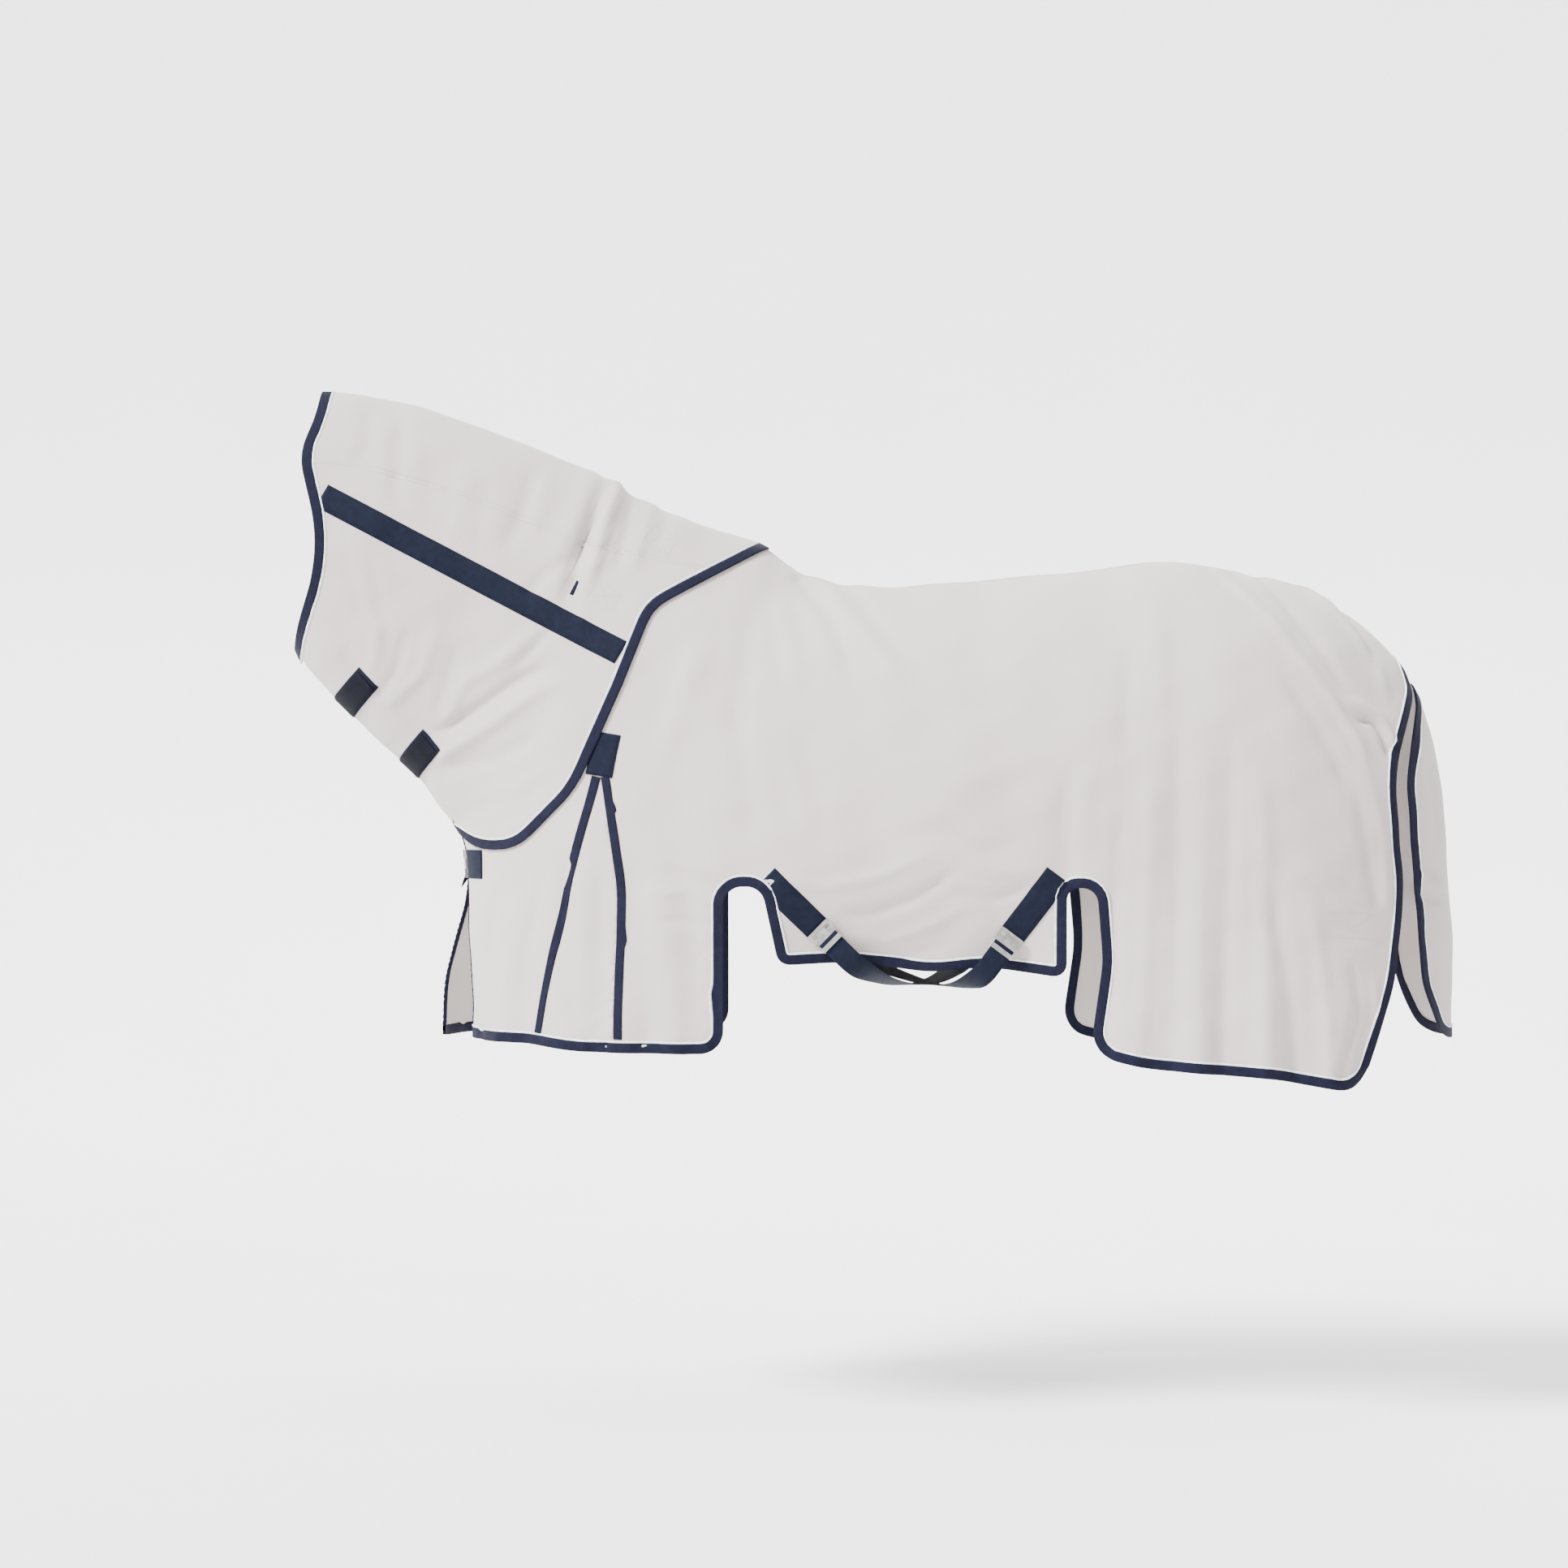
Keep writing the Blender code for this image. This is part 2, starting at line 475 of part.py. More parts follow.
class Workshop:
    """Holds the collections, the form and what is made from them."""

    def __init__(self):
        self.parts = make_collection("fly_sheet")
        self.cutters = make_collection("cutters")
        self.form = Form(TOPLINE, CHESTLINE, GIRTHS)
        self.grid = make_grid(self.form)
        self.sheets = {}
        self.trees = {}

    def sheet(self, side, low, high):
        key = (side, low, high)
        if key not in self.sheets:
            self.sheets[key] = make_sheet("cloth", self.form, self.grid, side, low, high)
        return self.sheets[key]

    def prism(self, name, outline, low=-REACH, high=REACH):
        """A cutter: a side view outline carried straight across from y low to y high."""
        curve = bpy.data.curves.new(name, "CURVE")
        curve.dimensions = "2D"
        curve.fill_mode = "BOTH"
        curve.extrude = (high - low) / 2
        add_outline(curve, outline)
        drawn = bpy.data.objects.new(name, curve)
        bpy.context.scene.collection.objects.link(drawn)
        drawn.rotation_euler = (math.pi / 2, 0, 0)
        drawn.location = (0, (low + high) / 2, 0)
        return self.to_cutter(drawn, name)

    def to_cutter(self, drawn, name):
        solid = self.to_mesh(drawn, name)
        self.cutters.objects.link(solid)
        solid.hide_render = True
        solid.display_type = "WIRE"
        return solid

    def to_mesh(self, drawn, name):
        """The curve object as a mesh object with its caps welded, in no collection yet."""
        view = bpy.context.evaluated_depsgraph_get()
        data = bpy.data.meshes.new_from_object(drawn.evaluated_get(view))
        mesh = bmesh.new()
        mesh.from_mesh(data)
        bmesh.ops.remove_doubles(mesh, verts=mesh.verts, dist=0.00005)
        bmesh.ops.recalc_face_normals(mesh, faces=mesh.faces)
        mesh.to_mesh(data)
        mesh.free()
        place = drawn.matrix_world.copy()
        bpy.data.objects.remove(drawn, do_unlink=True)
        solid = bpy.data.objects.new(name, data)
        solid.matrix_world = place
        return solid

    def box(self, name, low, high):
        """A cutter box between two corners."""
        return self.prism(name, [(low[0], low[2]), (high[0], low[2]), (high[0], high[2]),
                                 (low[0], high[2])], low[1], high[1])

    def cloth_piece(self, name, material, side, low, high, keep, remove=()):
        """A piece of cloth: the sheet inside each kept cutter and outside the others."""
        data = self.sheet(side, low, high).copy()
        data.name = name
        data.materials.append(material)
        piece = bpy.data.objects.new(name, data)
        self.parts.objects.link(piece)
        for operation, cutters in (("INTERSECT", keep), ("DIFFERENCE", remove)):
            for cutter in cutters:
                modifier = piece.modifiers.new(cutter.name, "BOOLEAN")
                modifier.operation = operation
                modifier.solver = "EXACT"
                modifier.object = cutter
        return piece

    def tree(self, side, layer):
        """A search tree over the faces of one layer's sheet."""
        if (side, layer) not in self.trees:
            data = self.sheet(side, *layer)
            corners = [vertex.co for vertex in data.vertices]
            faces = [face.vertices for face in data.polygons]
            self.trees[side, layer] = BVHTree.FromPolygons(corners, faces)
        return self.trees[side, layer]

    def spot(self, side, x, z, layer):
        """The middle of a layer's cloth over a side view point, and its outward normal."""
        start = Vector((x, side * REACH, z))
        place, normal, _, _ = self.tree(side, layer).ray_cast(start, Vector((0, -side, 0)))
        return place - normal * (layer[1] - layer[0]) / 2, normal

    def beside_strip(self, side, line, layer, radius=0.0, half_thickness=0.0):
        """A frame just past the end of a strip: x along it, z out of the cloth.  What is
        placed there clears the strip's end by its wire's radius or half its thickness."""
        start, end = Vector(line[0]), Vector(line[1])
        flat = (end - start).normalized()
        along = Vector((flat.x, 0, flat.y))
        place, normal = self.spot(side, *(end - flat * END_MARGIN), layer)
        heading = (along - normal * along.dot(normal)).normalized()
        slant = abs(normal.dot(along)) * half_thickness
        step = (END_MARGIN + GAP + radius + slant) / heading.dot(along)
        return frame_from(place + heading * step, heading, normal)

    def inner_ring(self, name, material, side, line, layer, width):
        """A wire loop past the end of a strip, leaning in from the cloth outside it."""
        frame = self.beside_strip(side, line, layer, WIRE / 2)
        sunk = raised(WEBBING + WIRE / 2 + RING_DEPTH_CLEAR).inverted()
        lean = Matrix.Rotation(TILT, 4, "Y")
        return self.loop(name, material, frame @ sunk @ lean, width, LOOP_LENGTH)

    def draw(self, name, material, curve, frame):
        """Links a curve object with its material, placed by a frame."""
        curve.materials.append(material)
        thing = bpy.data.objects.new(name, curve)
        thing.matrix_world = frame
        self.parts.objects.link(thing)
        return thing

    def loop(self, name, material, frame, width, length, shift=0.0):
        """A rectangular wire loop in the frame's plane; x runs along the strap."""
        ring = rounded_rectangle((shift, -width / 2), (shift + length, width / 2), 0.005)
        curve = bpy.data.curves.new(name, "CURVE")
        curve.dimensions = "3D"
        curve.bevel_depth = WIRE / 2
        curve.bevel_resolution = 1
        add_outline(curve, ring)
        return self.draw(name, material, curve, frame)

    def plate(self, name, material, frame, outlines, thickness):
        """A flat plate about the frame's plane; outlines after the first are its holes."""
        curve = bpy.data.curves.new(name, "CURVE")
        curve.dimensions = "2D"
        curve.fill_mode = "BOTH"
        curve.extrude = thickness / 2
        for outline in outlines:
            add_outline(curve, outline)
        drawn = self.draw(name, material, curve, frame)
        self.parts.objects.unlink(drawn)
        solid = self.to_mesh(drawn, name)
        self.parts.objects.link(solid)
        return solid

    def pivot(self, name, frame, *moving):
        """An empty on a joint's axis that the moving pieces hang from."""
        empty = bpy.data.objects.new(name, None)
        empty.empty_display_size = 0.05
        empty.matrix_world = frame
        self.parts.objects.link(empty)
        for piece in moving:
            piece.parent = empty
            piece.matrix_parent_inverse = frame.inverted()

    def slot_plate(self, name, material, frame, width):
        """A plate with one slot, from the frame's origin along its x."""
        rim = rounded_rectangle((0.0, -width / 2), (LOOP_LENGTH, width / 2), 0.004)
        slot_low = (LOOP_LENGTH - SLOT) / 2
        slot = rounded_rectangle((slot_low, -width / 2 + PLATE_RIM),
                                 (slot_low + SLOT, width / 2 - PLATE_RIM), 0.002)
        return self.plate(name, material, frame, [rim, slot], PLATE)

    def hook(self, name, material, frame, width):
        """A T hook that lies over a slot plate in the same frame: its bar is beyond the
        plate, its tongue comes back over the plate and its lip drops into the slot."""
        reach = (LOOP_LENGTH + SLOT) / 2 - SLOT_CLEAR
        bar_near = LOOP_LENGTH + 2 * GAP
        bar_far = bar_near + HOOK_BAR
        half_bar = width / 2
        half_tongue = HOOK_TONGUE / 2
        lip_x = (LOOP_LENGTH - SLOT) / 2 + SLOT_CLEAR
        outline = [(lip_x, -half_tongue), (bar_near, -half_tongue), (bar_near, -half_bar),
                   (bar_far, -half_bar), (bar_far, half_bar), (bar_near, half_bar),
                   (bar_near, half_tongue), (lip_x, half_tongue)]
        over = frame @ Matrix.Translation((0, 0, PLATE + GAP))
        body = self.plate(name, material, over, [[Vector(p) for p in outline]], PLATE)
        lip_path = [(lip_x, 0.0), (reach, 0.0), (reach, -LIP_DEPTH), (lip_x, -LIP_DEPTH)]
        curve = bpy.data.curves.new(name + "_lip", "CURVE")
        curve.dimensions = "2D"
        curve.fill_mode = "BOTH"
        curve.extrude = half_tongue * LIP_SHARE
        add_outline(curve, [Vector(p) for p in lip_path])
        drawn = bpy.data.objects.new(name + "_lip", curve)
        bpy.context.scene.collection.objects.link(drawn)
        upright = Matrix.Rotation(math.pi / 2, 4, "X")
        drawn.matrix_world = over @ upright
        lip = self.to_cutter(drawn, name + "_lip")
        at_bar = Matrix.Translation((bar_far, 0, PLATE / 2))
        self.pivot(name + "_pivot", over @ at_bar, body)
        union = body.modifiers.new("lip", "BOOLEAN")
        union.operation = "UNION"
        union.solver = "EXACT"
        union.object = lip
        return body

    def slider(self, name, material, frame):
        """A short flat tube round the strap, which runs through it along the frame's x."""
        half_width = SURCINGLE / 2 + SLIDER_CLEAR
        half_height = WEBBING / 2 + SLIDER_CLEAR
        rim = rounded_rectangle((-half_width - PLATE, -half_height - PLATE),
                                (half_width + PLATE, half_height + PLATE), 0.0015, 2)
        hole = rounded_rectangle((-half_width, -half_height), (half_width, half_height),
                                 0.0004, 1)
        upright = Matrix((Vector((0, 1, 0)), Vector((0, 0, 1)), Vector((1, 0, 0))))
        return self.plate(name, material, frame @ upright.transposed().to_4x4(), [rim, hole],
                          SLIDER_LENGTH)

    def ribbon(self, name, material, centres, outwards, width, thickness):
        """A flat strap through the given points, with its face square to each outward."""
        mesh = bmesh.new()
        rows = []
        for number, (centre, outward) in enumerate(zip(centres, outwards)):
            before = centres[max(number - 1, 0)]
            after = centres[min(number + 1, len(centres) - 1)]
            along = (after - before).normalized()
            aside = along.cross(outward).normalized()
            face = aside.cross(along)
            corners = [(-1, -1), (1, -1), (1, 1), (-1, 1)]
            rows.append([mesh.verts.new(centre + aside * (a * width / 2)
                                        + face * (f * thickness / 2)) for a, f in corners])
        for row, following in zip(rows, rows[1:]):
            for index in range(4):
                other = (index + 1) % 4
                mesh.faces.new((row[index], row[other], following[other], following[index]))
        mesh.faces.new(rows[0])
        mesh.faces.new(rows[-1])
        bmesh.ops.recalc_face_normals(mesh, faces=mesh.faces)
        bmesh.ops.triangulate(mesh, faces=mesh.faces)
        data = bpy.data.meshes.new(name)
        mesh.to_mesh(data)
        mesh.free()
        data.materials.append(material)
        strap = bpy.data.objects.new(name, data)
        self.parts.objects.link(strap)
        return strap


SIDES = (("left", -1), ("right", 1))


def build_body(shop, looks):
    lower = rounded(LOWER_EDGE)
    neck = rounded(NECKLINE)
    over_back = [Vector((1.10, 0.30)), Vector((0.30, 0.30))]
    inside = offset(lower, BINDING + SEAM)
    inside_neck = offset(neck, BINDING + SEAM)
    body = shop.prism("body_region", inside + over_back + inside_neck)
    hem = shop.prism("hem_region", band(lower, 0.0, BINDING))
    neckline = shop.prism("neckline_region", band(neck, 0.0, BINDING))
    front = shop.box("front_edge_region", (-0.80, -BINDING, -1.0), (-0.50, BINDING, -0.30))
    front_cut = shop.box("front_edge_cut", (-0.81, -BINDING - SEAM, -1.01),
                         (-0.49, BINDING + SEAM, -0.29))
    first, last = rounded(GUSSET_FRONT), rounded(GUSSET_REAR)
    notch = shop.prism("gusset_cut", offset(first, -BINDING - SEAM)
                       + list(reversed(offset(last, BINDING + SEAM))))
    front_band = shop.prism("gusset_front_region", band(first, 0.0, -BINDING))
    rear_band = shop.prism("gusset_rear_region", band(last, 0.0, BINDING))
    between = shop.prism("gusset_region", offset(first, SEAM)
                         + list(reversed(offset(last, -SEAM))))
    tab = shop.prism("gusset_tab_region", GUSSET_TAB)
    for word, side in SIDES:
        def cloth(name, material, keep, remove=()):
            shop.cloth_piece(f"{name}_{word}", material, side, 0.0, CLOTH, keep, remove)

        cloth("side_panel", looks["cloth"], [body], [front_cut, notch])
        cloth("hem_binding", looks["binding"], [hem])
        cloth("neckline_binding", looks["binding"], [neckline])
        cloth("front_edge_binding", looks["binding"], [body, front])
        cloth("gusset", looks["cloth"], [body, between])
        cloth("gusset_front_binding", looks["binding"], [body, front_band])
        cloth("gusset_rear_binding", looks["binding"], [body, rear_band])
        shop.cloth_piece(f"gusset_tab_{word}", looks["webbing"], side, TAB_LOW, TAB_HIGH, [tab])
    tape = shop.box("spine_tape_region", (-0.100, -SPINE_TAPE / 2, -0.180),
                    (1.120, SPINE_TAPE / 2, 0.200))
    shop.cloth_piece("spine_tape", looks["lining"], 0, UNDER_LOW, UNDER_HIGH, [tape])


def build_tail(shop, looks):
    edge = rounded(TAIL_FLAP_EDGE)
    behind = [Vector((1.400, -0.100))]
    flap = shop.prism("tail_flap_region", offset(edge, BINDING + SEAM) + behind)
    rim = shop.prism("tail_flap_rim", band(edge, 0.0, BINDING))
    dock = shop.box("dock_region", (DOCK[0], -0.045, -0.330), (DOCK[1], 0.045, 0.0))
    cloth = shop.cloth_piece("tail_flap", looks["cloth"], 0, 0.0, CLOTH, [flap])
    binding = shop.cloth_piece("tail_flap_binding", looks["binding"], 0, 0.0, CLOTH, [rim])
    hinge = Matrix.Translation((TAIL_FLAP_HINGE[0], 0, TAIL_FLAP_HINGE[1]))
    shop.pivot("tail_flap_pivot", hinge, cloth, binding)
    shop.cloth_piece("dock_patch", looks["lining"], 0, UNDER_LOW, UNDER_HIGH, [dock])


def build_neck(shop, looks):
    head = rounded(HEAD_EDGE)
    rear = rounded(NECK_REAR_EDGE)
    seam = rounded(CREST_SEAM)
    cover = shop.prism("neck_region", offset(head, BINDING + SEAM)
                       + list(reversed(offset(rear, -BINDING - SEAM))))
    above = [Vector((0.060, 0.500)), Vector((-1.000, 0.500))]
    below = [Vector((0.060, -0.700)), Vector((-1.000, -0.700))]
    crest = shop.prism("crest_region", offset(seam, SEAM / 2) + above)
    sides = shop.prism("neck_side_region", offset(seam, -SEAM / 2) + below)
    head_band = shop.prism("head_edge_region", band(head, 0.0, BINDING))
    rear_band = shop.prism("neck_rear_region", band(rear, 0.0, -BINDING))
    throat = [Vector(point) for point in CHESTLINE[:9]]
    opening = shop.prism("throat_gap", band(throat, -0.050, 0.050),
                         -THROAT_GAP / 2, THROAT_GAP / 2)
    stripe = shop.prism("neck_band_region", strip_outline(*NECK_BAND_LINE, NECK_BAND))
    link = shop.prism("neck_link_region", strip_outline(*NECK_LINK, LINK_WIDTH))

    def cover_piece(name, material, side, keep, remove=()):
        shop.cloth_piece(name, material, side, NECK_LOW, NECK_HIGH, keep, remove)

    cover_piece("neck_crest_panel", looks["cloth"], 0, [cover, crest])
    cover_piece("head_opening_binding", looks["binding"], 0, [head_band], [opening])
    cover_piece("neck_rear_binding", looks["binding"], 0, [rear_band], [opening])
    for word, side in SIDES:
        cover_piece(f"neck_side_{word}", looks["cloth"], side, [cover, sides], [opening])
        shop.cloth_piece(f"neck_band_{word}", looks["webbing"], side, BAND_LOW, BAND_HIGH,
                         [stripe, cover])
        shop.cloth_piece(f"neck_link_tab_{word}", looks["webbing"], side, TAB_LOW, TAB_HIGH,
                         [link])
        shop.inner_ring(f"neck_link_ring_{word}", looks["steel"], side, NECK_LINK,
                        (TAB_LOW, TAB_HIGH), LINK_WIDTH + WIRE)


def build_throat(shop, looks):
    """Two straps that close the neck cover under the throat, each through a loop."""
    middle = shop.box("throat_strap_middle", (-1.0, -PEEL_EDGE, -0.6), (-0.5, PEEL_EDGE, 0.1))
    for place, (start, end) in THROAT_STRAPS.items():
        long_strip = shop.prism(f"throat_strap_{place}_region",
                                strip_outline(start, end, THROAT_STRAP))
        half_way = spread(start, end, 0.45)
        short_strip = shop.prism(f"throat_tab_{place}_region",
                                 strip_outline(half_way, end, THROAT_STRAP))
        strap = shop.cloth_piece(f"throat_strap_{place}", looks["webbing"], -1, BAND_LOW,
                                 BAND_HIGH, [long_strip], [middle])
        shop.cloth_piece(f"throat_tab_{place}", looks["webbing"], 1, BAND_LOW, BAND_HIGH,
                         [short_strip], [middle])
        edge = shop.form.onto_outline(*spread(start, end, 0.8))
        slope = shop.form.slope([edge])[0]
        outward = Vector((-slope[0], 0, -slope[1])).normalized()
        middle_edge = Vector((edge[0], 0, edge[1]))
        aside = Vector((outward.z, 0, -outward.x)) * (THROAT_STRAP - WIRE) / 2
        cloth = shop.tree(-1, (BAND_LOW, BAND_HIGH))
        height = -REACH
        for shift in (-aside, Vector(), aside):
            above = middle_edge + shift + Vector((0, -PEEL_EDGE, 0)) + outward * 0.1
            hit = cloth.ray_cast(above, -outward)[0]
            height = max(height, (hit - middle_edge).dot(outward))
        base = middle_edge + outward * (height - WEBBING / 2)
        peel = base + outward * WEBBING / 2 + Vector((0, -PEEL_EDGE, 0))
        shop.pivot(f"throat_strap_{place}_pivot",
                   frame_from(peel, Vector((0, 1, 0)), outward), strap)
        length = 2 * (PEEL_EDGE - GAP) - WIRE
        shop.loop(f"throat_loop_{place}", looks["steel"],
                  frame_from(base, Vector((0, 1, 0)), outward), THROAT_STRAP, length,
                  -length / 2)


def build_chest(shop, looks):
    """Two tabs over the breast, joined by a hook in a slot plate."""
    low, high = CHEST_CLOSURE
    middle = (low + high) / 2
    hook_end = -CHEST_TAB_START + HOOK_REACH
    for word, side, start in (("left", -1, CHEST_TAB_START), ("right", 1, hook_end)):
        near, far = sorted((side * start, side * CHEST_TAB_END))
        region = shop.box(f"chest_tab_region_{word}", (-0.80, near, low), (-0.40, far, high))
        shop.cloth_piece(f"chest_tab_{word}", looks["webbing"], side, TAB_LOW, TAB_HIGH,
                         [region])
    start = Vector((-1.0, -CHEST_TAB_START - END_MARGIN, middle))
    place, normal, _, _ = shop.tree(-1, (TAB_LOW, TAB_HIGH)).ray_cast(start, Vector((1, 0, 0)))
    heading = Vector((0, 1, 0))
    heading = (heading - normal * normal.y).normalized()
    slant = abs(normal.y) * PLATE / 2
    place = place - normal * WEBBING / 2 + heading * (END_MARGIN + GAP + slant) / heading.y
    frame = frame_from(place, heading, normal) @ raised(PLATE)
    shop.slot_plate("chest_slot_plate", looks["steel"], frame, high - low)
    shop.hook("chest_hook", looks["steel"], frame, high - low)


def belly_route(start, start_heading, end, end_heading, low):
    """Points of a belly strap from one hook to the other side's loop, sagging between."""
    straight = STRAIGHT_RUN
    first = start + start_heading * straight
    last = end + end_heading * straight
    handles = [first, first + start_heading * BELLY_PULL, last + end_heading * BELLY_PULL, last]
    middle = Vector((BELLY[0], 0.0, low))
    points = [start + start_heading * straight * share for share in (0.0, 0.5)]
    steps = 16
    bottom = (handles[0] + handles[1] * 3 + handles[2] * 3 + handles[3]) / 8
    for index in range(steps + 1):
        t = index / steps
        s = 1 - t
        place = (handles[0] * s ** 3 + handles[1] * 3 * s * s * t + handles[2] * 3 * s * t * t
                 + handles[3] * t ** 3)
        bump = (4 * t * s) ** 2
        points.append(place + (middle - bottom) * bump)
    points += [end + end_heading * straight * share for share in (0.5, 0.0)]
    return points


def build_surcingles(shop, looks):
    """Four tabs on the belly, two crossed straps, and their loops, hooks and sliders."""
    layer = (TAB_LOW, TAB_HIGH)
    lean = Matrix.Rotation(-TILT, 4, "Y")
    ends = {}
    for place, line in SURCINGLE_TABS.items():
        region = shop.prism(f"surcingle_tab_{place}_region", strip_outline(*line, TAB_WIDTH))
        for word, side in SIDES:
            shop.cloth_piece(f"surcingle_tab_{place}_{word}", looks["webbing"], side,
                             *layer, [region])
        frame = shop.beside_strip(-1, line, layer, 0.0, PLATE / 2) @ raised(PLATE) @ lean
        shop.slot_plate(f"surcingle_plate_{place}", looks["steel"], frame, TAB_WIDTH)
        shop.hook(f"surcingle_hook_{place}", looks["steel"], frame, TAB_WIDTH)
        ends[place, "left"] = frame @ Matrix.Translation((HOOK_REACH, 0, PLATE + GAP))
        frame = shop.beside_strip(1, line, layer, WIRE / 2) @ raised(WIRE) @ lean
        shop.loop(f"surcingle_loop_{place}", looks["steel"], frame, TAB_WIDTH, LOOP_LENGTH)
        ends[place, "right"] = frame @ Matrix.Translation((LOOP_LENGTH + WIRE / 2 + GAP, 0, 0))
    for place, other, low in (("front", "rear", BELLY[1]), ("rear", "front", BELLY[1] + CROSS)):
        start, end = ends[place, "left"], ends[other, "right"]
        points = belly_route(start.translation, start.col[0].xyz, end.translation,
                             end.col[0].xyz, low)
        outwards = []
        for number, point in enumerate(points):
            from_axis = Vector((0, point.y, point.z - GIRTH_AXIS_Z)).normalized()
            ending = min(number, len(points) - 1 - number)
            blend = smooth_step(ending, 2, 7)
            near = start if number < len(points) / 2 else end
            outwards.append(near.col[2].xyz.lerp(from_axis, blend).normalized())
        shop.ribbon(f"surcingle_strap_{place}", looks["webbing"], points, outwards,
                    SURCINGLE, WEBBING)
        slide = start @ Matrix.Translation((SLIDER_ALONG, 0, 0))
        shop.slider(f"surcingle_slider_{place}", looks["steel"], slide)


def build_leg_links(shop, looks):
    region = shop.prism("leg_tab_region", strip_outline(*LEG_LINK, LEG_TAB))
    for word, side in SIDES:
        shop.cloth_piece(f"leg_tab_{word}", looks["webbing"], side, UNDER_LOW, UNDER_HIGH,
                         [region])
        shop.inner_ring(f"leg_ring_{word}", looks["steel"], side, LEG_LINK,
                        (UNDER_LOW, UNDER_HIGH), LEG_TAB)


def main():
    clear_scene()
    looks = {
        "cloth": make_material("mesh_cloth", CLOTH_COLOUR, 0.85),
        "lining": make_material("lining_cloth", LINING_COLOUR, 0.85),
        "binding": make_material("navy_binding", NAVY, 0.8),
        "webbing": make_material("navy_webbing", STRAP_NAVY, 0.75),
        "steel": make_material("nickel_steel", STEEL, 0.35, 0.9),
    }
    shop = Workshop()
    build_body(shop, looks)
    build_tail(shop, looks)
    build_neck(shop, looks)
    build_throat(shop, looks)
    build_chest(shop, looks)
    build_surcingles(shop, looks)
    build_leg_links(shop, looks)


main()
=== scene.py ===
"""Fly sheet with a neck cover, dressed on its frame: folded mesh cloth, bindings with
piping, webbing with stitching, and steel fittings."""

import json
import math

import bpy
import numpy as np
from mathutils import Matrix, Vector
from mathutils.geometry import delaunay_2d_cdt


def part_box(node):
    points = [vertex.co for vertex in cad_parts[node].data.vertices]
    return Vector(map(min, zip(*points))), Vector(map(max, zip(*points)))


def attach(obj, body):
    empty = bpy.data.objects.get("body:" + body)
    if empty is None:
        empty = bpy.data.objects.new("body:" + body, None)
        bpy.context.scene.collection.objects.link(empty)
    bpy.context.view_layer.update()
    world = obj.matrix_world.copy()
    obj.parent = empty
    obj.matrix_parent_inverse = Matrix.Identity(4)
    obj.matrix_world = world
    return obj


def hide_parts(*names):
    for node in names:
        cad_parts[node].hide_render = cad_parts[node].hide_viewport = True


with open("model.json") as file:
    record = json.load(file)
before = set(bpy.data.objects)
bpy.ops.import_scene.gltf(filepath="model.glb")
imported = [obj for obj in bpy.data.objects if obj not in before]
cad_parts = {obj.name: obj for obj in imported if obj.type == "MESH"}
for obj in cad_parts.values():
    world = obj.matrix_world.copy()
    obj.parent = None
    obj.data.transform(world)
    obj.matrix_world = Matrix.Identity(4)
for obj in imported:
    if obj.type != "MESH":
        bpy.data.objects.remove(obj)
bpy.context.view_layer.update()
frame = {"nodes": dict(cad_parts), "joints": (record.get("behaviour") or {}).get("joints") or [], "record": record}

bl_info = {
    "name": "Fly Sheet Dresser",
    "version": (1, 0, 0),
    "blender": (4, 5, 0),
    "location": "3D View > Sidebar > Fly Sheet",
    "description": "Builds the cloth, trim and stage of a fly sheet on its packed frame",
    "category": "Add Mesh",
}

# ---------------------------------------------------------------- layers and widths
BODY_LAYER = (0.0006, 0.0018)      # lining side and face of the body cloth over the form
NECK_LAYER = (0.0046, 0.0058)      # the same for the neck cover
BODY_BINDING = (-0.0012, 0.0036)   # the folded tape round the body cloth's edges
NECK_BINDING = (0.0036, 0.0072)    # the same on the neck cover
TAB_LAYER = (0.0021, 0.0039)       # webbing on the body cloth
UNDER_LAYER = (-0.0021, -0.0002)   # tape and webbing on the lining side
BINDING = 0.018                    # width of the edge binding
PIPING = 0.0044                    # width of the pale piping inside the binding
TAB_WIDTH = 0.050
SURCINGLE = 0.042
THROAT_STRAP = 0.054
NECK_BAND = 0.048
LINK_WIDTH = 0.030
LEG_TAB = 0.040
SPINE_TAPE = 0.040
SPINE_SEAM = 0.014
THROAT_EDGE = 0.012                # how far from the middle the neck cover's throat edges are
PEEL_EDGE = 0.0115                 # how far from the middle the throat straps end
CHEST_TAB = (0.0235, 0.092)        # from where to where the left chest tab runs, in y
CHEST_HOOK_END = 0.004             # where the right chest tab starts, in y
FLAP_SWING = 0.058                 # how far the right chest flap hangs forward
EDGE_INSET = 0.0012                # how far inside a binding's fold the cloth ends
SOFT_CORNER = 0.0007               # rounding of webbing edges
WIRE = 0.0036
LOOP_LENGTH = 0.020
SLIDER_ALONG = 0.012               # how far along the belly strap its slider sits
BELLY_PULL = 0.120                 # how far a belly strap keeps its first direction
STRAIGHT_RUN = 0.050
BELLY = (0.255, -0.795)            # where the belly straps cross, in the side view
CROSS = 0.0080                     # height between the belly straps there
GIRTH_AXIS_Z = -0.400

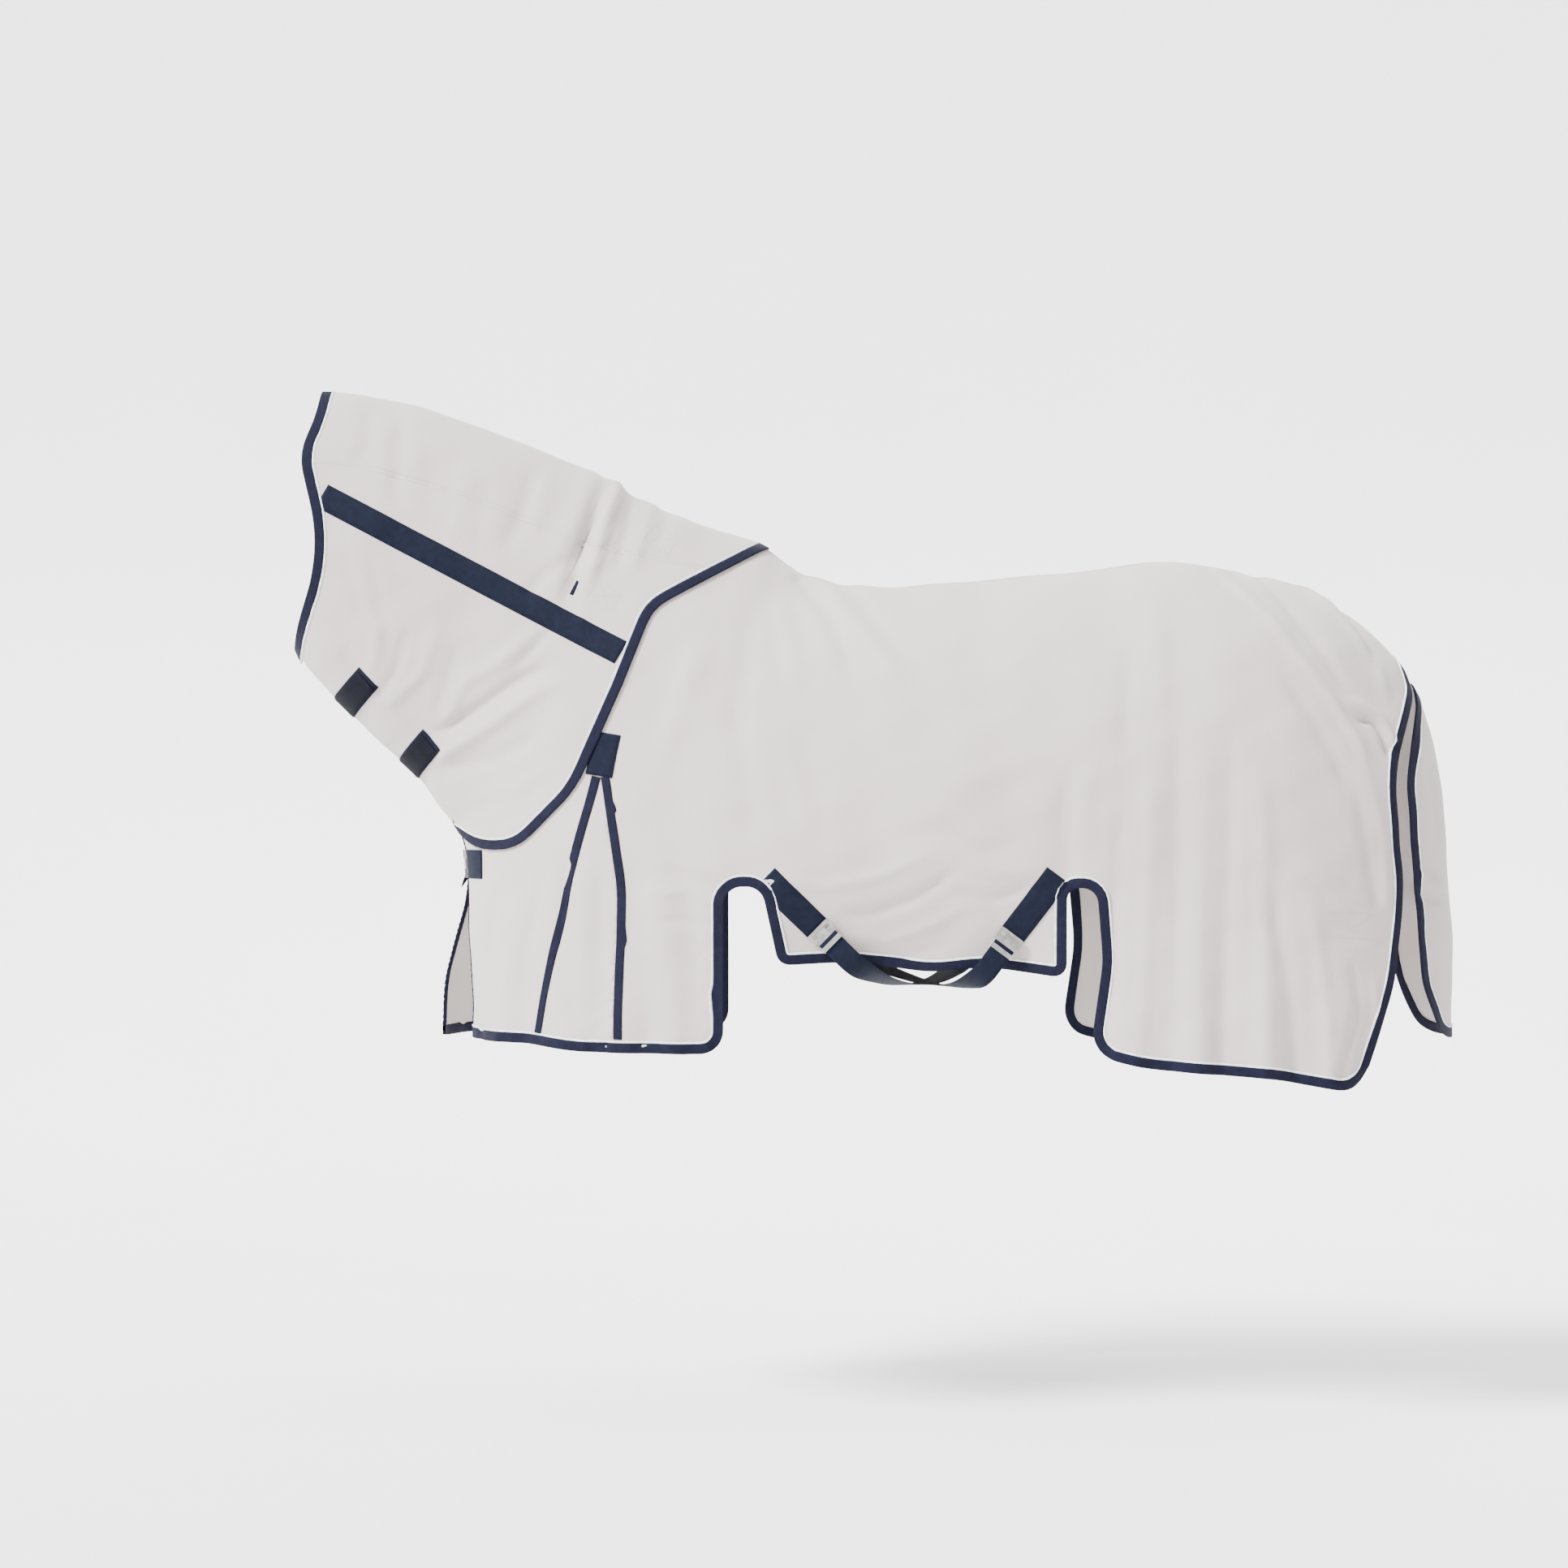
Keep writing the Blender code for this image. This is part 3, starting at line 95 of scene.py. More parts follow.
# The side view of the topline: poll, crest, withers, back, croup, dock and tail flap.
TOPLINE = [
    (-0.960, 0.336), (-0.885, 0.337), (-0.820, 0.333), (-0.757, 0.322), (-0.633, 0.286),
    (-0.509, 0.242), (-0.384, 0.190), (-0.259, 0.122), (-0.134, 0.074), (-0.036, 0.040),
    (0.022, -0.003), (0.080, -0.026), (0.210, -0.034), (0.365, -0.024), (0.521, -0.011),
    (0.640, 0.004), (0.755, 0.012), (0.870, -0.004), (0.989, -0.033), (1.067, -0.078),
    (1.145, -0.142), (1.195, -0.208), (1.228, -0.275), (1.253, -0.371), (1.264, -0.480),
    (1.274, -0.616), (1.279, -0.760), (1.279, -0.900), (1.276, -1.020),
]
# The side view of the throat, breast and chest line, from the head down.
CHESTLINE = [
    (-0.965, -0.110), (-0.925, -0.160), (-0.872, -0.226), (-0.817, -0.281), (-0.750, -0.345),
    (-0.690, -0.402), (-0.652, -0.455), (-0.620, -0.500), (-0.607, -0.545), (-0.603, -0.620),
    (-0.600, -0.720), (-0.597, -0.830), (-0.596, -0.960),
]
# Half widths of the form: side view x, then (z, half width) down the side.
GIRTHS = [
    (-0.960, [(0.240, 0.082), (0.090, 0.112), (-0.030, 0.092)]),
    (-0.880, [(0.250, 0.086), (0.110, 0.120), (-0.040, 0.112), (-0.150, 0.078)]),
    (-0.750, [(0.230, 0.092), (0.080, 0.130), (-0.090, 0.132), (-0.240, 0.096)]),
    (-0.620, [(0.190, 0.094), (0.040, 0.135), (-0.140, 0.142), (-0.320, 0.112)]),
    (-0.500, [(0.130, 0.105), (-0.030, 0.148), (-0.220, 0.165), (-0.420, 0.165),
              (-0.620, 0.172), (-0.920, 0.195)]),
    (-0.380, [(0.080, 0.115), (-0.080, 0.170), (-0.280, 0.212), (-0.480, 0.238),
              (-0.680, 0.255), (-0.920, 0.272)]),
    (-0.220, [(0.000, 0.125), (-0.140, 0.195), (-0.340, 0.250), (-0.560, 0.288),
              (-0.900, 0.318)]),
    (-0.040, [(-0.060, 0.118), (-0.180, 0.208), (-0.360, 0.282), (-0.580, 0.312),
              (-0.880, 0.318)]),
    (0.140, [(-0.100, 0.148), (-0.220, 0.245), (-0.400, 0.312), (-0.600, 0.318),
             (-0.780, 0.262)]),
    (0.320, [(-0.090, 0.160), (-0.210, 0.262), (-0.400, 0.330), (-0.600, 0.326),
             (-0.790, 0.262)]),
    (0.500, [(-0.070, 0.162), (-0.200, 0.268), (-0.400, 0.328), (-0.600, 0.326),
             (-0.850, 0.318)]),
    (0.680, [(-0.050, 0.160), (-0.180, 0.266), (-0.380, 0.322), (-0.650, 0.336),
             (-0.980, 0.350)]),
    (0.860, [(-0.060, 0.152), (-0.190, 0.250), (-0.390, 0.306), (-0.650, 0.326),
             (-0.980, 0.344)]),
    (1.020, [(-0.110, 0.134), (-0.240, 0.212), (-0.420, 0.262), (-0.680, 0.284),
             (-0.990, 0.304)]),
    (1.140, [(-0.240, 0.128), (-0.420, 0.190), (-0.680, 0.212), (-0.990, 0.228)]),
    (1.220, [(-0.450, 0.112), (-0.700, 0.142), (-0.990, 0.150)]),
]
# Columns of the cloth grid: a point near the topline and one near the lower edge.
STATIONS = [
    ((-0.940, 0.337), (-0.950, -0.130)), ((-0.760, 0.322), (-0.842, -0.256)),
    ((-0.570, 0.264), (-0.730, -0.364)), ((-0.390, 0.192), (-0.640, -0.472)),
    ((-0.250, 0.118), (-0.603, -0.600)), ((-0.130, 0.072), (-0.598, -0.760)),
    ((-0.040, 0.042), (-0.596, -0.930)), ((0.040, -0.012), (-0.420, -0.930)),
    ((0.140, -0.033), (-0.160, -0.930)), ((0.270, -0.030), (0.080, -0.800)),
    ((0.430, -0.020), (0.360, -0.800)), ((0.600, -0.001), (0.600, -1.000)),
    ((0.780, 0.011), (0.780, -1.000)), ((0.960, -0.025), (0.930, -1.000)),
    ((1.120, -0.120), (1.040, -1.000)), ((1.215, -0.245), (1.110, -1.000)),
    ((1.262, -0.460), (1.170, -1.000)), ((1.278, -0.760), (1.230, -1.000)),
    ((1.280, -0.940), (1.262, -1.000)),
]
THROAT_STATIONS = 6        # so many columns from the head on end on the chest line

# Edges in the side view: x, z and the radius of the corner there.
LOWER_EDGE = [
    (-0.800, -0.893, 0), (-0.480, -0.893, 0.2), (-0.380, -0.904, 0.3), (-0.112, -0.905, 0.042),
    (-0.112, -0.598, 0.034), (-0.041, -0.598, 0.034), (-0.010, -0.743, 0.024),
    (0.110, -0.737, 0.3), (0.275, -0.757, 0.3), (0.370, -0.745, 0.3), (0.518, -0.766, 0.022),
    (0.518, -0.600, 0.022), (0.574, -0.600, 0.030), (0.585, -0.735, 0.2), (0.560, -0.905, 0.055),
    (0.660, -0.930, 0.4), (0.900, -0.950, 0.5), (1.062, -0.982, 0.060), (1.135, -0.780, 0.4),
    (1.158, -0.600, 0.4), (1.140, -0.390, 0.2), (1.192, -0.240, 0.05), (1.155, -0.100, 0),
]
NECKLINE = [
    (-0.125, 0.200, 0), (-0.150, 0.010, 0.06), (-0.320, -0.110, 0.12), (-0.390, -0.320, 0.3),
    (-0.500, -0.470, 0.2), (-0.800, -0.510, 0),
]
HEAD_EDGE = [
    (-0.882, 0.420, 0), (-0.888, 0.290, 0.2), (-0.918, 0.215, 0.12), (-0.872, 0.035, 0.3),
    (-0.935, -0.150, 0.2), (-0.950, -0.260, 0),
]
NECK_REAR_EDGE = [
    (0.060, 0.100, 0), (-0.036, 0.036, 0.3), (-0.245, -0.082, 0.08), (-0.300, -0.225, 0.4),
    (-0.385, -0.420, 0.2), (-0.500, -0.535, 0.12), (-0.585, -0.532, 0.08), (-0.680, -0.440, 0),
]
CREST_SEAM = [
    (-1.000, 0.196, 0), (-0.830, 0.200, 0.4), (-0.600, 0.134, 0.5), (-0.380, 0.044, 0.4),
    (0.060, -0.055, 0),
]
NECK_BAND_LINE = ((-0.888, 0.142), (-0.288, -0.175))
GUSSET_FRONT = [(-0.342, -0.398, 0), (-0.395, -0.600, 0.5), (-0.475, -0.960, 0)]
GUSSET_REAR = [(-0.338, -0.398, 0), (-0.305, -0.600, 0.4), (-0.312, -0.960, 0)]
GUSSET_TAB = [(-0.345, -0.296), (-0.305, -0.337), (-0.316, -0.3955), (-0.368, -0.3955),
              (-0.376, -0.350)]
TAIL_FLAP_EDGE = [
    (1.205, -0.100, 0), (1.200, -0.262, 0.04), (1.168, -0.400, 0.2), (1.185, -0.640, 0.5),
    (1.200, -0.790, 0.3), (1.246, -0.892, 0.05), (1.400, -0.900, 0),
]
# Straight pieces in the side view: where each starts and ends.
SURCINGLE_TABS = {
    "front": ((-0.034, -0.582), (0.060, -0.674)),
    "rear": ((0.502, -0.577), (0.421, -0.685)),
}
THROAT_STRAPS = {
    "upper": ((-0.784, -0.205), (-0.855, -0.275)),
    "lower": ((-0.664, -0.324), (-0.728, -0.390)),
}
NECK_LINK = ((-0.396, -0.041), (-0.338, -0.067))
LEG_LINK = ((1.042, -0.662), (1.092, -0.670))
CHEST_CLOSURE = (-0.590, -0.535)   # from where to where the chest tabs reach in z


NECK_PATCHES = (((-0.361, -0.042), (-0.313, -0.076)), ((-0.260, 0.067), (-0.208, 0.031)))
PATCH_WIDTH = 0.046
GUSSET_TAB_WIDTH = 0.052
GUSSET_TAB_TIP = (0.018, -0.020)   # from the first corner to the middle of its top edge
REAR_PATCH = ((1.040, -0.662), (1.090, -0.672))
REAR_SEAMS = (((1.000, -0.646), (1.112, -0.652)), ((0.996, -0.690), (1.100, -0.700)))

# ---------------------------------------------------------------- folds
FADE = 0.3                 # share of a fold's length over which a soft end fades
FAR_SHIFT = 0.014          # how far the right side's folds are moved along
FAR_SHARE = 0.85           # how deep the right side's folds are beside the left's
FLUTE = 0.006              # depth of the flutes at the hem
SPINE_GAP = 0.00025        # half the gap between the panels at the spine
# Broad ripples: wavelength, direction and height.
RIPPLES = [(0.31, 0.3, 0.0016), (0.22, 1.2, 0.0012), (0.17, -0.5, 0.0010),
           (0.12, 0.1, 0.0008), (0.085, -1.1, 0.0005)]
# Places where the cloth lies flat under fittings: x, z and radius.
FLAT_SPOTS = [
    (0.066, -0.680, 0.032), (0.415, -0.692, 0.032), (-0.600, -0.562, 0.040),
    (-0.335, -0.068, 0.026), (1.098, -0.672, 0.020), (-0.841, -0.262, 0.030),
    (-0.719, -0.380, 0.030),
]
# Folds: depth (ridges are positive), half width, how each end fades (f) or stays open (o),
# and the fold's line in the side view.
FOLDS = {
    "plain": [],
    "neck": [
        (-0.005, 0.010, "ff", [(-0.73, 0.31), (-0.73, 0.21), (-0.73, 0.11)]),
        (0.003, 0.012, "ff", [(-0.76, 0.31), (-0.76, 0.18), (-0.75, 0.06)]),
        (-0.005, 0.008, "ff", [(-0.79, 0.31), (-0.79, 0.24), (-0.81, 0.18)]),
        (-0.003, 0.016, "ff", [(-0.67, 0.25), (-0.67, 0.15), (-0.66, 0.07)]),
        (-0.006, 0.013, "ff", [(-0.47, 0.20), (-0.49, 0.12), (-0.53, 0.01)]),
        (0.004, 0.010, "ff", [(-0.45, 0.20), (-0.46, 0.12), (-0.48, 0.03)]),
        (0.004, 0.014, "ff", [(-0.60, 0.22), (-0.61, 0.12), (-0.62, 0.04)]),
        (-0.003, 0.012, "ff", [(-0.56, 0.20), (-0.57, 0.09), (-0.58, -0.00)]),
        (0.005, 0.016, "of", [(-0.37, 0.17), (-0.40, 0.08), (-0.45, -0.06)]),
        (-0.015, 0.008, "ff", [(-0.34, 0.17), (-0.36, 0.10), (-0.39, 0.01), (-0.42, -0.10)]),
        (0.013, 0.010, "of", [(-0.32, 0.16), (-0.34, 0.08), (-0.36, -0.01), (-0.38, -0.14)]),
        (-0.006, 0.009, "of", [(-0.29, 0.14), (-0.30, 0.07), (-0.32, -0.03)]),
        (0.005, 0.009, "of", [(-0.25, 0.13), (-0.27, 0.05), (-0.29, -0.03)]),
        (-0.004, 0.008, "of", [(-0.22, 0.11), (-0.24, 0.03)]),
        (-0.006, 0.014, "ff", [(-0.39, 0.03), (-0.45, -0.02), (-0.50, -0.08)]),
        (-0.005, 0.008, "ff", [(-0.42, -0.10), (-0.47, -0.16), (-0.52, -0.21)]),
        (0.006, 0.014, "ff", [(-0.62, -0.23), (-0.53, -0.18), (-0.45, -0.11)]),
        (-0.010, 0.011, "of", [(-0.65, -0.31), (-0.58, -0.27), (-0.49, -0.21), (-0.42, -0.18)]),
        (0.009, 0.014, "of", [(-0.64, -0.35), (-0.55, -0.30), (-0.46, -0.24), (-0.40, -0.21)]),
        (-0.005, 0.016, "of", [(-0.64, -0.38), (-0.54, -0.36), (-0.43, -0.31)]),
        (0.003, 0.018, "ff", [(-0.62, -0.44), (-0.51, -0.42), (-0.40, -0.36)]),
        (-0.003, 0.016, "ff", [(-0.60, -0.48), (-0.50, -0.46), (-0.40, -0.41)]),
        (-0.004, 0.009, "ff", [(-0.79, 0.03), (-0.76, -0.07), (-0.74, -0.18)]),
        (-0.006, 0.008, "fo", [(-0.71, -0.11), (-0.73, -0.19), (-0.76, -0.23)]),
        (0.005, 0.010, "ff", [(-0.76, -0.09), (-0.77, -0.17), (-0.79, -0.21)]),
        (0.005, 0.011, "fo", [(-0.65, -0.10), (-0.68, -0.20), (-0.74, -0.25)]),
        (-0.004, 0.010, "ff", [(-0.61, -0.13), (-0.64, -0.23), (-0.66, -0.29)]),
        (0.004, 0.010, "fo", [(-0.57, -0.16), (-0.62, -0.26), (-0.66, -0.33)]),
        (-0.003, 0.009, "ff", [(-0.84, 0.06), (-0.81, -0.03), (-0.79, -0.11)]),
        (-0.004, 0.010, "fo", [(-0.83, -0.14), (-0.82, -0.17), (-0.81, -0.20)]),
    ],
    "body": [
        (-0.006, 0.013, "of", [(0.03, -0.02), (0.09, -0.10), (0.14, -0.24)]),
        (0.005, 0.013, "of", [(0.07, -0.02), (0.15, -0.13), (0.23, -0.25)]),
        (-0.004, 0.013, "of", [(0.12, -0.03), (0.20, -0.14), (0.29, -0.24)]),
        (0.004, 0.018, "ff", [(-0.02, -0.03), (0.01, -0.14), (0.03, -0.27)]),
        (-0.004, 0.020, "ff", [(-0.06, -0.05), (-0.07, -0.19), (-0.10, -0.36)]),
        (0.005, 0.024, "ff", [(-0.13, -0.10), (-0.19, -0.25), (-0.24, -0.43)]),
        (-0.005, 0.020, "ff", [(-0.09, -0.25), (-0.07, -0.40), (-0.05, -0.54)]),
        (0.004, 0.018, "ff", [(-0.01, -0.28), (0.03, -0.42), (0.05, -0.54)]),
        (-0.004, 0.026, "ff", [(0.14, -0.18), (0.26, -0.26), (0.44, -0.28)]),
        (0.003, 0.024, "ff", [(0.18, -0.36), (0.32, -0.40), (0.48, -0.37)]),
        (-0.003, 0.022, "ff", [(0.08, -0.46), (0.21, -0.51), (0.38, -0.48)]),
        (0.005, 0.011, "fo", [(-0.50, -0.58), (-0.51, -0.74), (-0.53, -0.90)]),
        (-0.005, 0.009, "fo", [(-0.54, -0.59), (-0.56, -0.75), (-0.57, -0.91)]),
        (-0.005, 0.010, "fo", [(-0.45, -0.55), (-0.48, -0.72), (-0.49, -0.90)]),
        (-0.005, 0.009, "ff", [(-0.40, -0.52), (-0.41, -0.64), (-0.42, -0.76)]),
        (0.005, 0.009, "fo", [(-0.37, -0.54), (-0.37, -0.72), (-0.37, -0.90)]),
        (-0.006, 0.009, "fo", [(-0.34, -0.51), (-0.34, -0.70), (-0.33, -0.89)]),
        (-0.005, 0.010, "fo", [(-0.28, -0.52), (-0.27, -0.71), (-0.26, -0.89)]),
        (0.005, 0.012, "fo", [(-0.24, -0.51), (-0.22, -0.70), (-0.21, -0.89)]),
        (-0.006, 0.013, "fo", [(-0.19, -0.52), (-0.17, -0.71), (-0.17, -0.90)]),
        (0.005, 0.011, "fo", [(-0.14, -0.62), (-0.14, -0.76), (-0.14, -0.89)]),
        (-0.005, 0.008, "of", [(-0.10, -0.60), (-0.17, -0.58), (-0.24, -0.56)]),
        (0.005, 0.008, "of", [(-0.11, -0.63), (-0.18, -0.61), (-0.25, -0.61)]),
        (-0.004, 0.008, "of", [(-0.12, -0.67), (-0.18, -0.66), (-0.24, -0.66)]),
        (0.005, 0.010, "of", [(-0.03, -0.59), (0.07, -0.60), (0.17, -0.58), (0.29, -0.53)]),
        (-0.006, 0.010, "of", [(0.07, -0.65), (0.16, -0.65), (0.24, -0.62), (0.34, -0.55)]),
        (0.004, 0.009, "of", [(0.10, -0.68), (0.19, -0.70), (0.27, -0.67), (0.36, -0.62)]),
        (-0.004, 0.008, "of", [(0.12, -0.72), (0.22, -0.73), (0.32, -0.70)]),
        (-0.005, 0.009, "of", [(0.45, -0.60), (0.39, -0.62), (0.31, -0.61), (0.26, -0.58)]),
        (0.004, 0.009, "of", [(0.45, -0.57), (0.38, -0.57), (0.30, -0.55)]),
        (-0.004, 0.010, "ff", [(0.44, -0.53), (0.37, -0.53), (0.27, -0.49)]),
        (0.004, 0.012, "fo", [(0.56, -0.36), (0.55, -0.48), (0.55, -0.59)]),
        (-0.005, 0.012, "fo", [(0.52, -0.36), (0.51, -0.48), (0.52, -0.58)]),
        (-0.006, 0.013, "fo", [(0.62, -0.40), (0.61, -0.58), (0.60, -0.76), (0.59, -0.92)]),
        (0.006, 0.015, "fo", [(0.67, -0.31), (0.67, -0.53), (0.66, -0.76), (0.65, -0.93)]),
        (-0.006, 0.015, "fo", [(0.73, -0.19), (0.72, -0.40), (0.72, -0.64), (0.71, -0.93)]),
        (0.005, 0.016, "fo", [(0.77, -0.25), (0.77, -0.46), (0.76, -0.68), (0.76, -0.95)]),
        (-0.006, 0.015, "fo", [(0.82, -0.25), (0.82, -0.46), (0.81, -0.68), (0.80, -0.95)]),
        (0.006, 0.016, "fo", [(0.87, -0.31), (0.88, -0.51), (0.88, -0.73), (0.88, -0.95)]),
        (-0.006, 0.015, "fo", [(0.88, -0.55), (0.92, -0.73), (0.94, -0.96)]),
        (0.004, 0.013, "fo", [(0.96, -0.58), (0.99, -0.76), (1.00, -0.95)]),
        (-0.004, 0.014, "ff", [(0.64, -0.13), (0.63, -0.25), (0.63, -0.37)]),
        (0.004, 0.018, "ff", [(0.69, -0.07), (0.69, -0.19), (0.69, -0.31)]),
        (0.008, 0.010, "of", [(0.83, -0.01), (0.93, -0.13), (1.01, -0.24), (1.07, -0.33),
                              (1.10, -0.45)]),
        (-0.008, 0.011, "of", [(0.90, -0.00), (0.98, -0.12), (1.05, -0.23), (1.10, -0.27)]),
        (-0.006, 0.014, "ff", [(0.90, -0.16), (0.97, -0.27), (1.03, -0.37), (1.06, -0.49)]),
        (0.007, 0.009, "of", [(0.99, -0.01), (1.07, -0.11), (1.12, -0.19), (1.14, -0.28)]),
        (-0.007, 0.008, "of", [(1.03, -0.03), (1.10, -0.14), (1.13, -0.23)]),
        (0.008, 0.007, "fo", [(1.04, -0.26), (1.08, -0.26), (1.12, -0.29), (1.14, -0.33)]),
        (-0.011, 0.006, "fo", [(1.06, -0.29), (1.10, -0.29), (1.12, -0.31), (1.13, -0.35)]),
        (-0.006, 0.012, "fo", [(1.04, -0.34), (1.07, -0.45), (1.09, -0.58), (1.11, -0.70)]),
        (0.005, 0.010, "fo", [(1.09, -0.40), (1.12, -0.52), (1.12, -0.63)]),
        (-0.003, 0.009, "ff", [(0.94, -0.58), (0.99, -0.61), (1.02, -0.64)]),
        (0.003, 0.009, "ff", [(0.95, -0.55), (1.00, -0.58), (1.05, -0.60)]),
        (-0.005, 0.009, "fo", [(1.05, -0.72), (1.06, -0.82), (1.02, -0.95)]),
        (0.004, 0.009, "fo", [(1.09, -0.75), (1.10, -0.84), (1.08, -0.93)]),
    ],
    "tail": [
        (-0.004, 0.008, "ff", [(1.18, -0.60), (1.21, -0.63), (1.26, -0.63)]),
        (0.004, 0.008, "ff", [(1.18, -0.57), (1.21, -0.59), (1.26, -0.60)]),
        (0.004, 0.009, "ff", [(1.20, -0.28), (1.20, -0.40), (1.22, -0.52)]),
        (-0.004, 0.009, "ff", [(1.22, -0.37), (1.23, -0.46), (1.24, -0.55)]),
        (-0.003, 0.008, "ff", [(1.20, -0.66), (1.22, -0.75), (1.24, -0.83)]),
    ],
}


# ---------------------------------------------------------------- the form
class Form:
    """Squares of the half widths over the side view, as a thin plate spline that is zero
    along the topline and the chest line."""

    def __init__(self, topline, chestline, girths):
        knots = [(x, z, 0.0) for x, z in topline + chestline]
        knots += [(x, z, width * width) for x, row in girths for z, width in row]
        knots = np.array(knots)
        self.centres = knots[:, :2]
        count = len(knots)
        system = np.zeros((count + 3, count + 3))
        square = self.squares(self.centres)
        system[:count, :count] = 0.5 * square * np.log(square + 1e-18)
        system[:count, count] = 1.0
        system[:count, count + 1:] = self.centres
        system[count:, :count] = system[:count, count:].T
        self.weights = np.linalg.solve(system, np.append(knots[:, 2], np.zeros(3)))

    def squares(self, points):
        apart = points[:, None, :] - self.centres[None, :, :]
        return (apart ** 2).sum(axis=2)

    def value(self, points):
        count = len(self.centres)
        square = self.squares(points)
        kernel = 0.5 * square * np.log(square + 1e-18)
        return (kernel @ self.weights[:count] + self.weights[count]
                + points @ self.weights[count + 1:])

    def slope(self, points):
        count = len(self.centres)
        pull = np.log(self.squares(points) + 1e-18) + 1.0
        weighted = pull * self.weights[:count]
        total = weighted.sum(axis=1)[:, None] * points - weighted @ self.centres
        return total + self.weights[count + 1:]

    def onto_outline(self, points):
        """The nearest points of the side view's outline."""
        points = np.array(points, dtype=float)
        for _ in range(12):
            slope = self.slope(points)
            points = points - (self.value(points) / (slope ** 2).sum(axis=1))[:, None] * slope
        return points


def smooth(value, start, end):
    share = np.clip((value - start) / (end - start), 0.0, 1.0)
    return share * share * (3.0 - 2.0 * share)


def curve_through(points, step):
    """Catmull-Rom points through the given ones, step of them from each to the next."""
    ends = [points[0]] + list(points) + [points[-1]]
    result = []
    for a, b, c, d in zip(ends, ends[1:], ends[2:], ends[3:]):
        a, b, c, d = (np.array(p, dtype=float) for p in (a, b, c, d))
        for index in range(step):
            t = index / step
            result.append(0.5 * (2 * b + (c - a) * t + (2 * a - 5 * b + 4 * c - d) * t * t
                                 + (3 * b - a - 3 * c + d) * t ** 3))
    result.append(np.array(points[-1], dtype=float))
    return result


def nearest_on(points, path):
    """For each point: its distance to a path, the share of the path's length there, and
    whether it lies to the left (1) or the right (-1) of it."""
    path = np.array(path, dtype=float)
    start, step = path[:-1], np.diff(path, axis=0)
    length = np.linalg.norm(step, axis=1)
    run = np.append(0.0, np.cumsum(length))
    apart = points[:, None, :] - start[None]
    share = np.clip((apart * step).sum(axis=2) / length ** 2, 0.0, 1.0)
    distance = np.linalg.norm(apart - share[..., None] * step, axis=2)
    best = distance.argmin(axis=1)
    rows = np.arange(len(points))
    cross = step[best, 0] * apart[rows, best, 1] - step[best, 1] * apart[rows, best, 0]
    along = (run[best] + share[rows, best] * length[best]) / run[-1]
    return distance[rows, best], along, np.where(cross >= 0, 1.0, -1.0)


# ---------------------------------------------------------------- outlines
def rounded(corners, spacing=0.02):
    """The side view path through corners (x, z, radius), with its round corners as arcs."""
    path = []
    for number, (x, z, radius) in enumerate(corners):
        here = np.array((x, z))
        if radius == 0 or number in (0, len(corners) - 1):
            path.append(here)
            continue
        before = np.array(corners[number - 1][:2]) - here
        after = np.array(corners[number + 1][:2]) - here
        near, far = np.linalg.norm(before), np.linalg.norm(after)
        before, after = before / near, after / far
        half = math.acos(max(-1.0, min(1.0, float(before @ after)))) / 2
        reach = min(radius / math.tan(half), 0.48 * near, 0.48 * far)
        radius = reach * math.tan(half)
        middle = (before + after) / np.linalg.norm(before + after) * radius / math.sin(half)
        arm = here + before * reach - (here + middle)
        turn = math.pi - 2 * half
        steps = max(2, round(radius * turn / spacing), round(turn / 0.2))
        sign = 1 if before[0] * after[1] - before[1] * after[0] < 0 else -1
        for index in range(steps + 1):
            angle = sign * turn * index / steps
            cos, sin = math.cos(angle), math.sin(angle)
            turned = np.array((arm[0] * cos - arm[1] * sin, arm[0] * sin + arm[1] * cos))
            path.append(here + middle + turned)
    return np.array(path)


def offset(path, distance):
    """The path moved to its left."""
    step = np.diff(path, axis=0)
    step = step / np.maximum(np.linalg.norm(step, axis=1), 1e-9)[:, None]
    first = np.vstack([step[:1], step])
    second = np.vstack([step, step[-1:]])
    along = first + second
    along = along / np.linalg.norm(along, axis=1)[:, None]
    stretch = 1.0 / np.maximum((along * first).sum(axis=1), 0.5)
    aside = np.stack([-along[:, 1], along[:, 0]], axis=1)
    return path + aside * (distance * stretch)[:, None]


def evenly(path, spacing):
    """Points spaced evenly along a path of any dimension."""
    path = np.array(path, dtype=float)
    step = np.linalg.norm(np.diff(path, axis=0), axis=1)
    keep = np.append(True, step > 1e-7)
    path = path[keep]
    run = np.append(0.0, np.cumsum(np.linalg.norm(np.diff(path, axis=0), axis=1)))
    wanted = np.linspace(0.0, run[-1], max(2, round(run[-1] / spacing) + 1))
    return np.stack([np.interp(wanted, run, path[:, k]) for k in range(path.shape[1])], axis=1)


NECK_REAR_PATH = rounded(NECK_REAR_EDGE)
NECKLINE_PATH = rounded(NECKLINE)


# ---------------------------------------------------------------- folding
def fold_strokes(points, layer):
    """The folds of one layer, each a soft ridge or valley along a short path."""
    height = np.zeros(len(points))
    for depth, width, ends, path in FOLDS[layer]:
        path = np.array(path)
        low, high = path.min(axis=0) - 3 * width, path.max(axis=0) + 3 * width
        near = ((points > low) & (points < high)).all(axis=1)
        if not near.any():
            continue
        distance, share, _ = nearest_on(points[near], path)
        fade = np.ones(len(distance))
        if ends[0] == "f":
            fade *= smooth(share, 0.0, FADE)
        if ends[1] == "f":
            fade *= smooth(1.0 - share, 0.0, FADE)
        height[near] += depth * fade * np.exp(-(distance / width) ** 2)
    return height


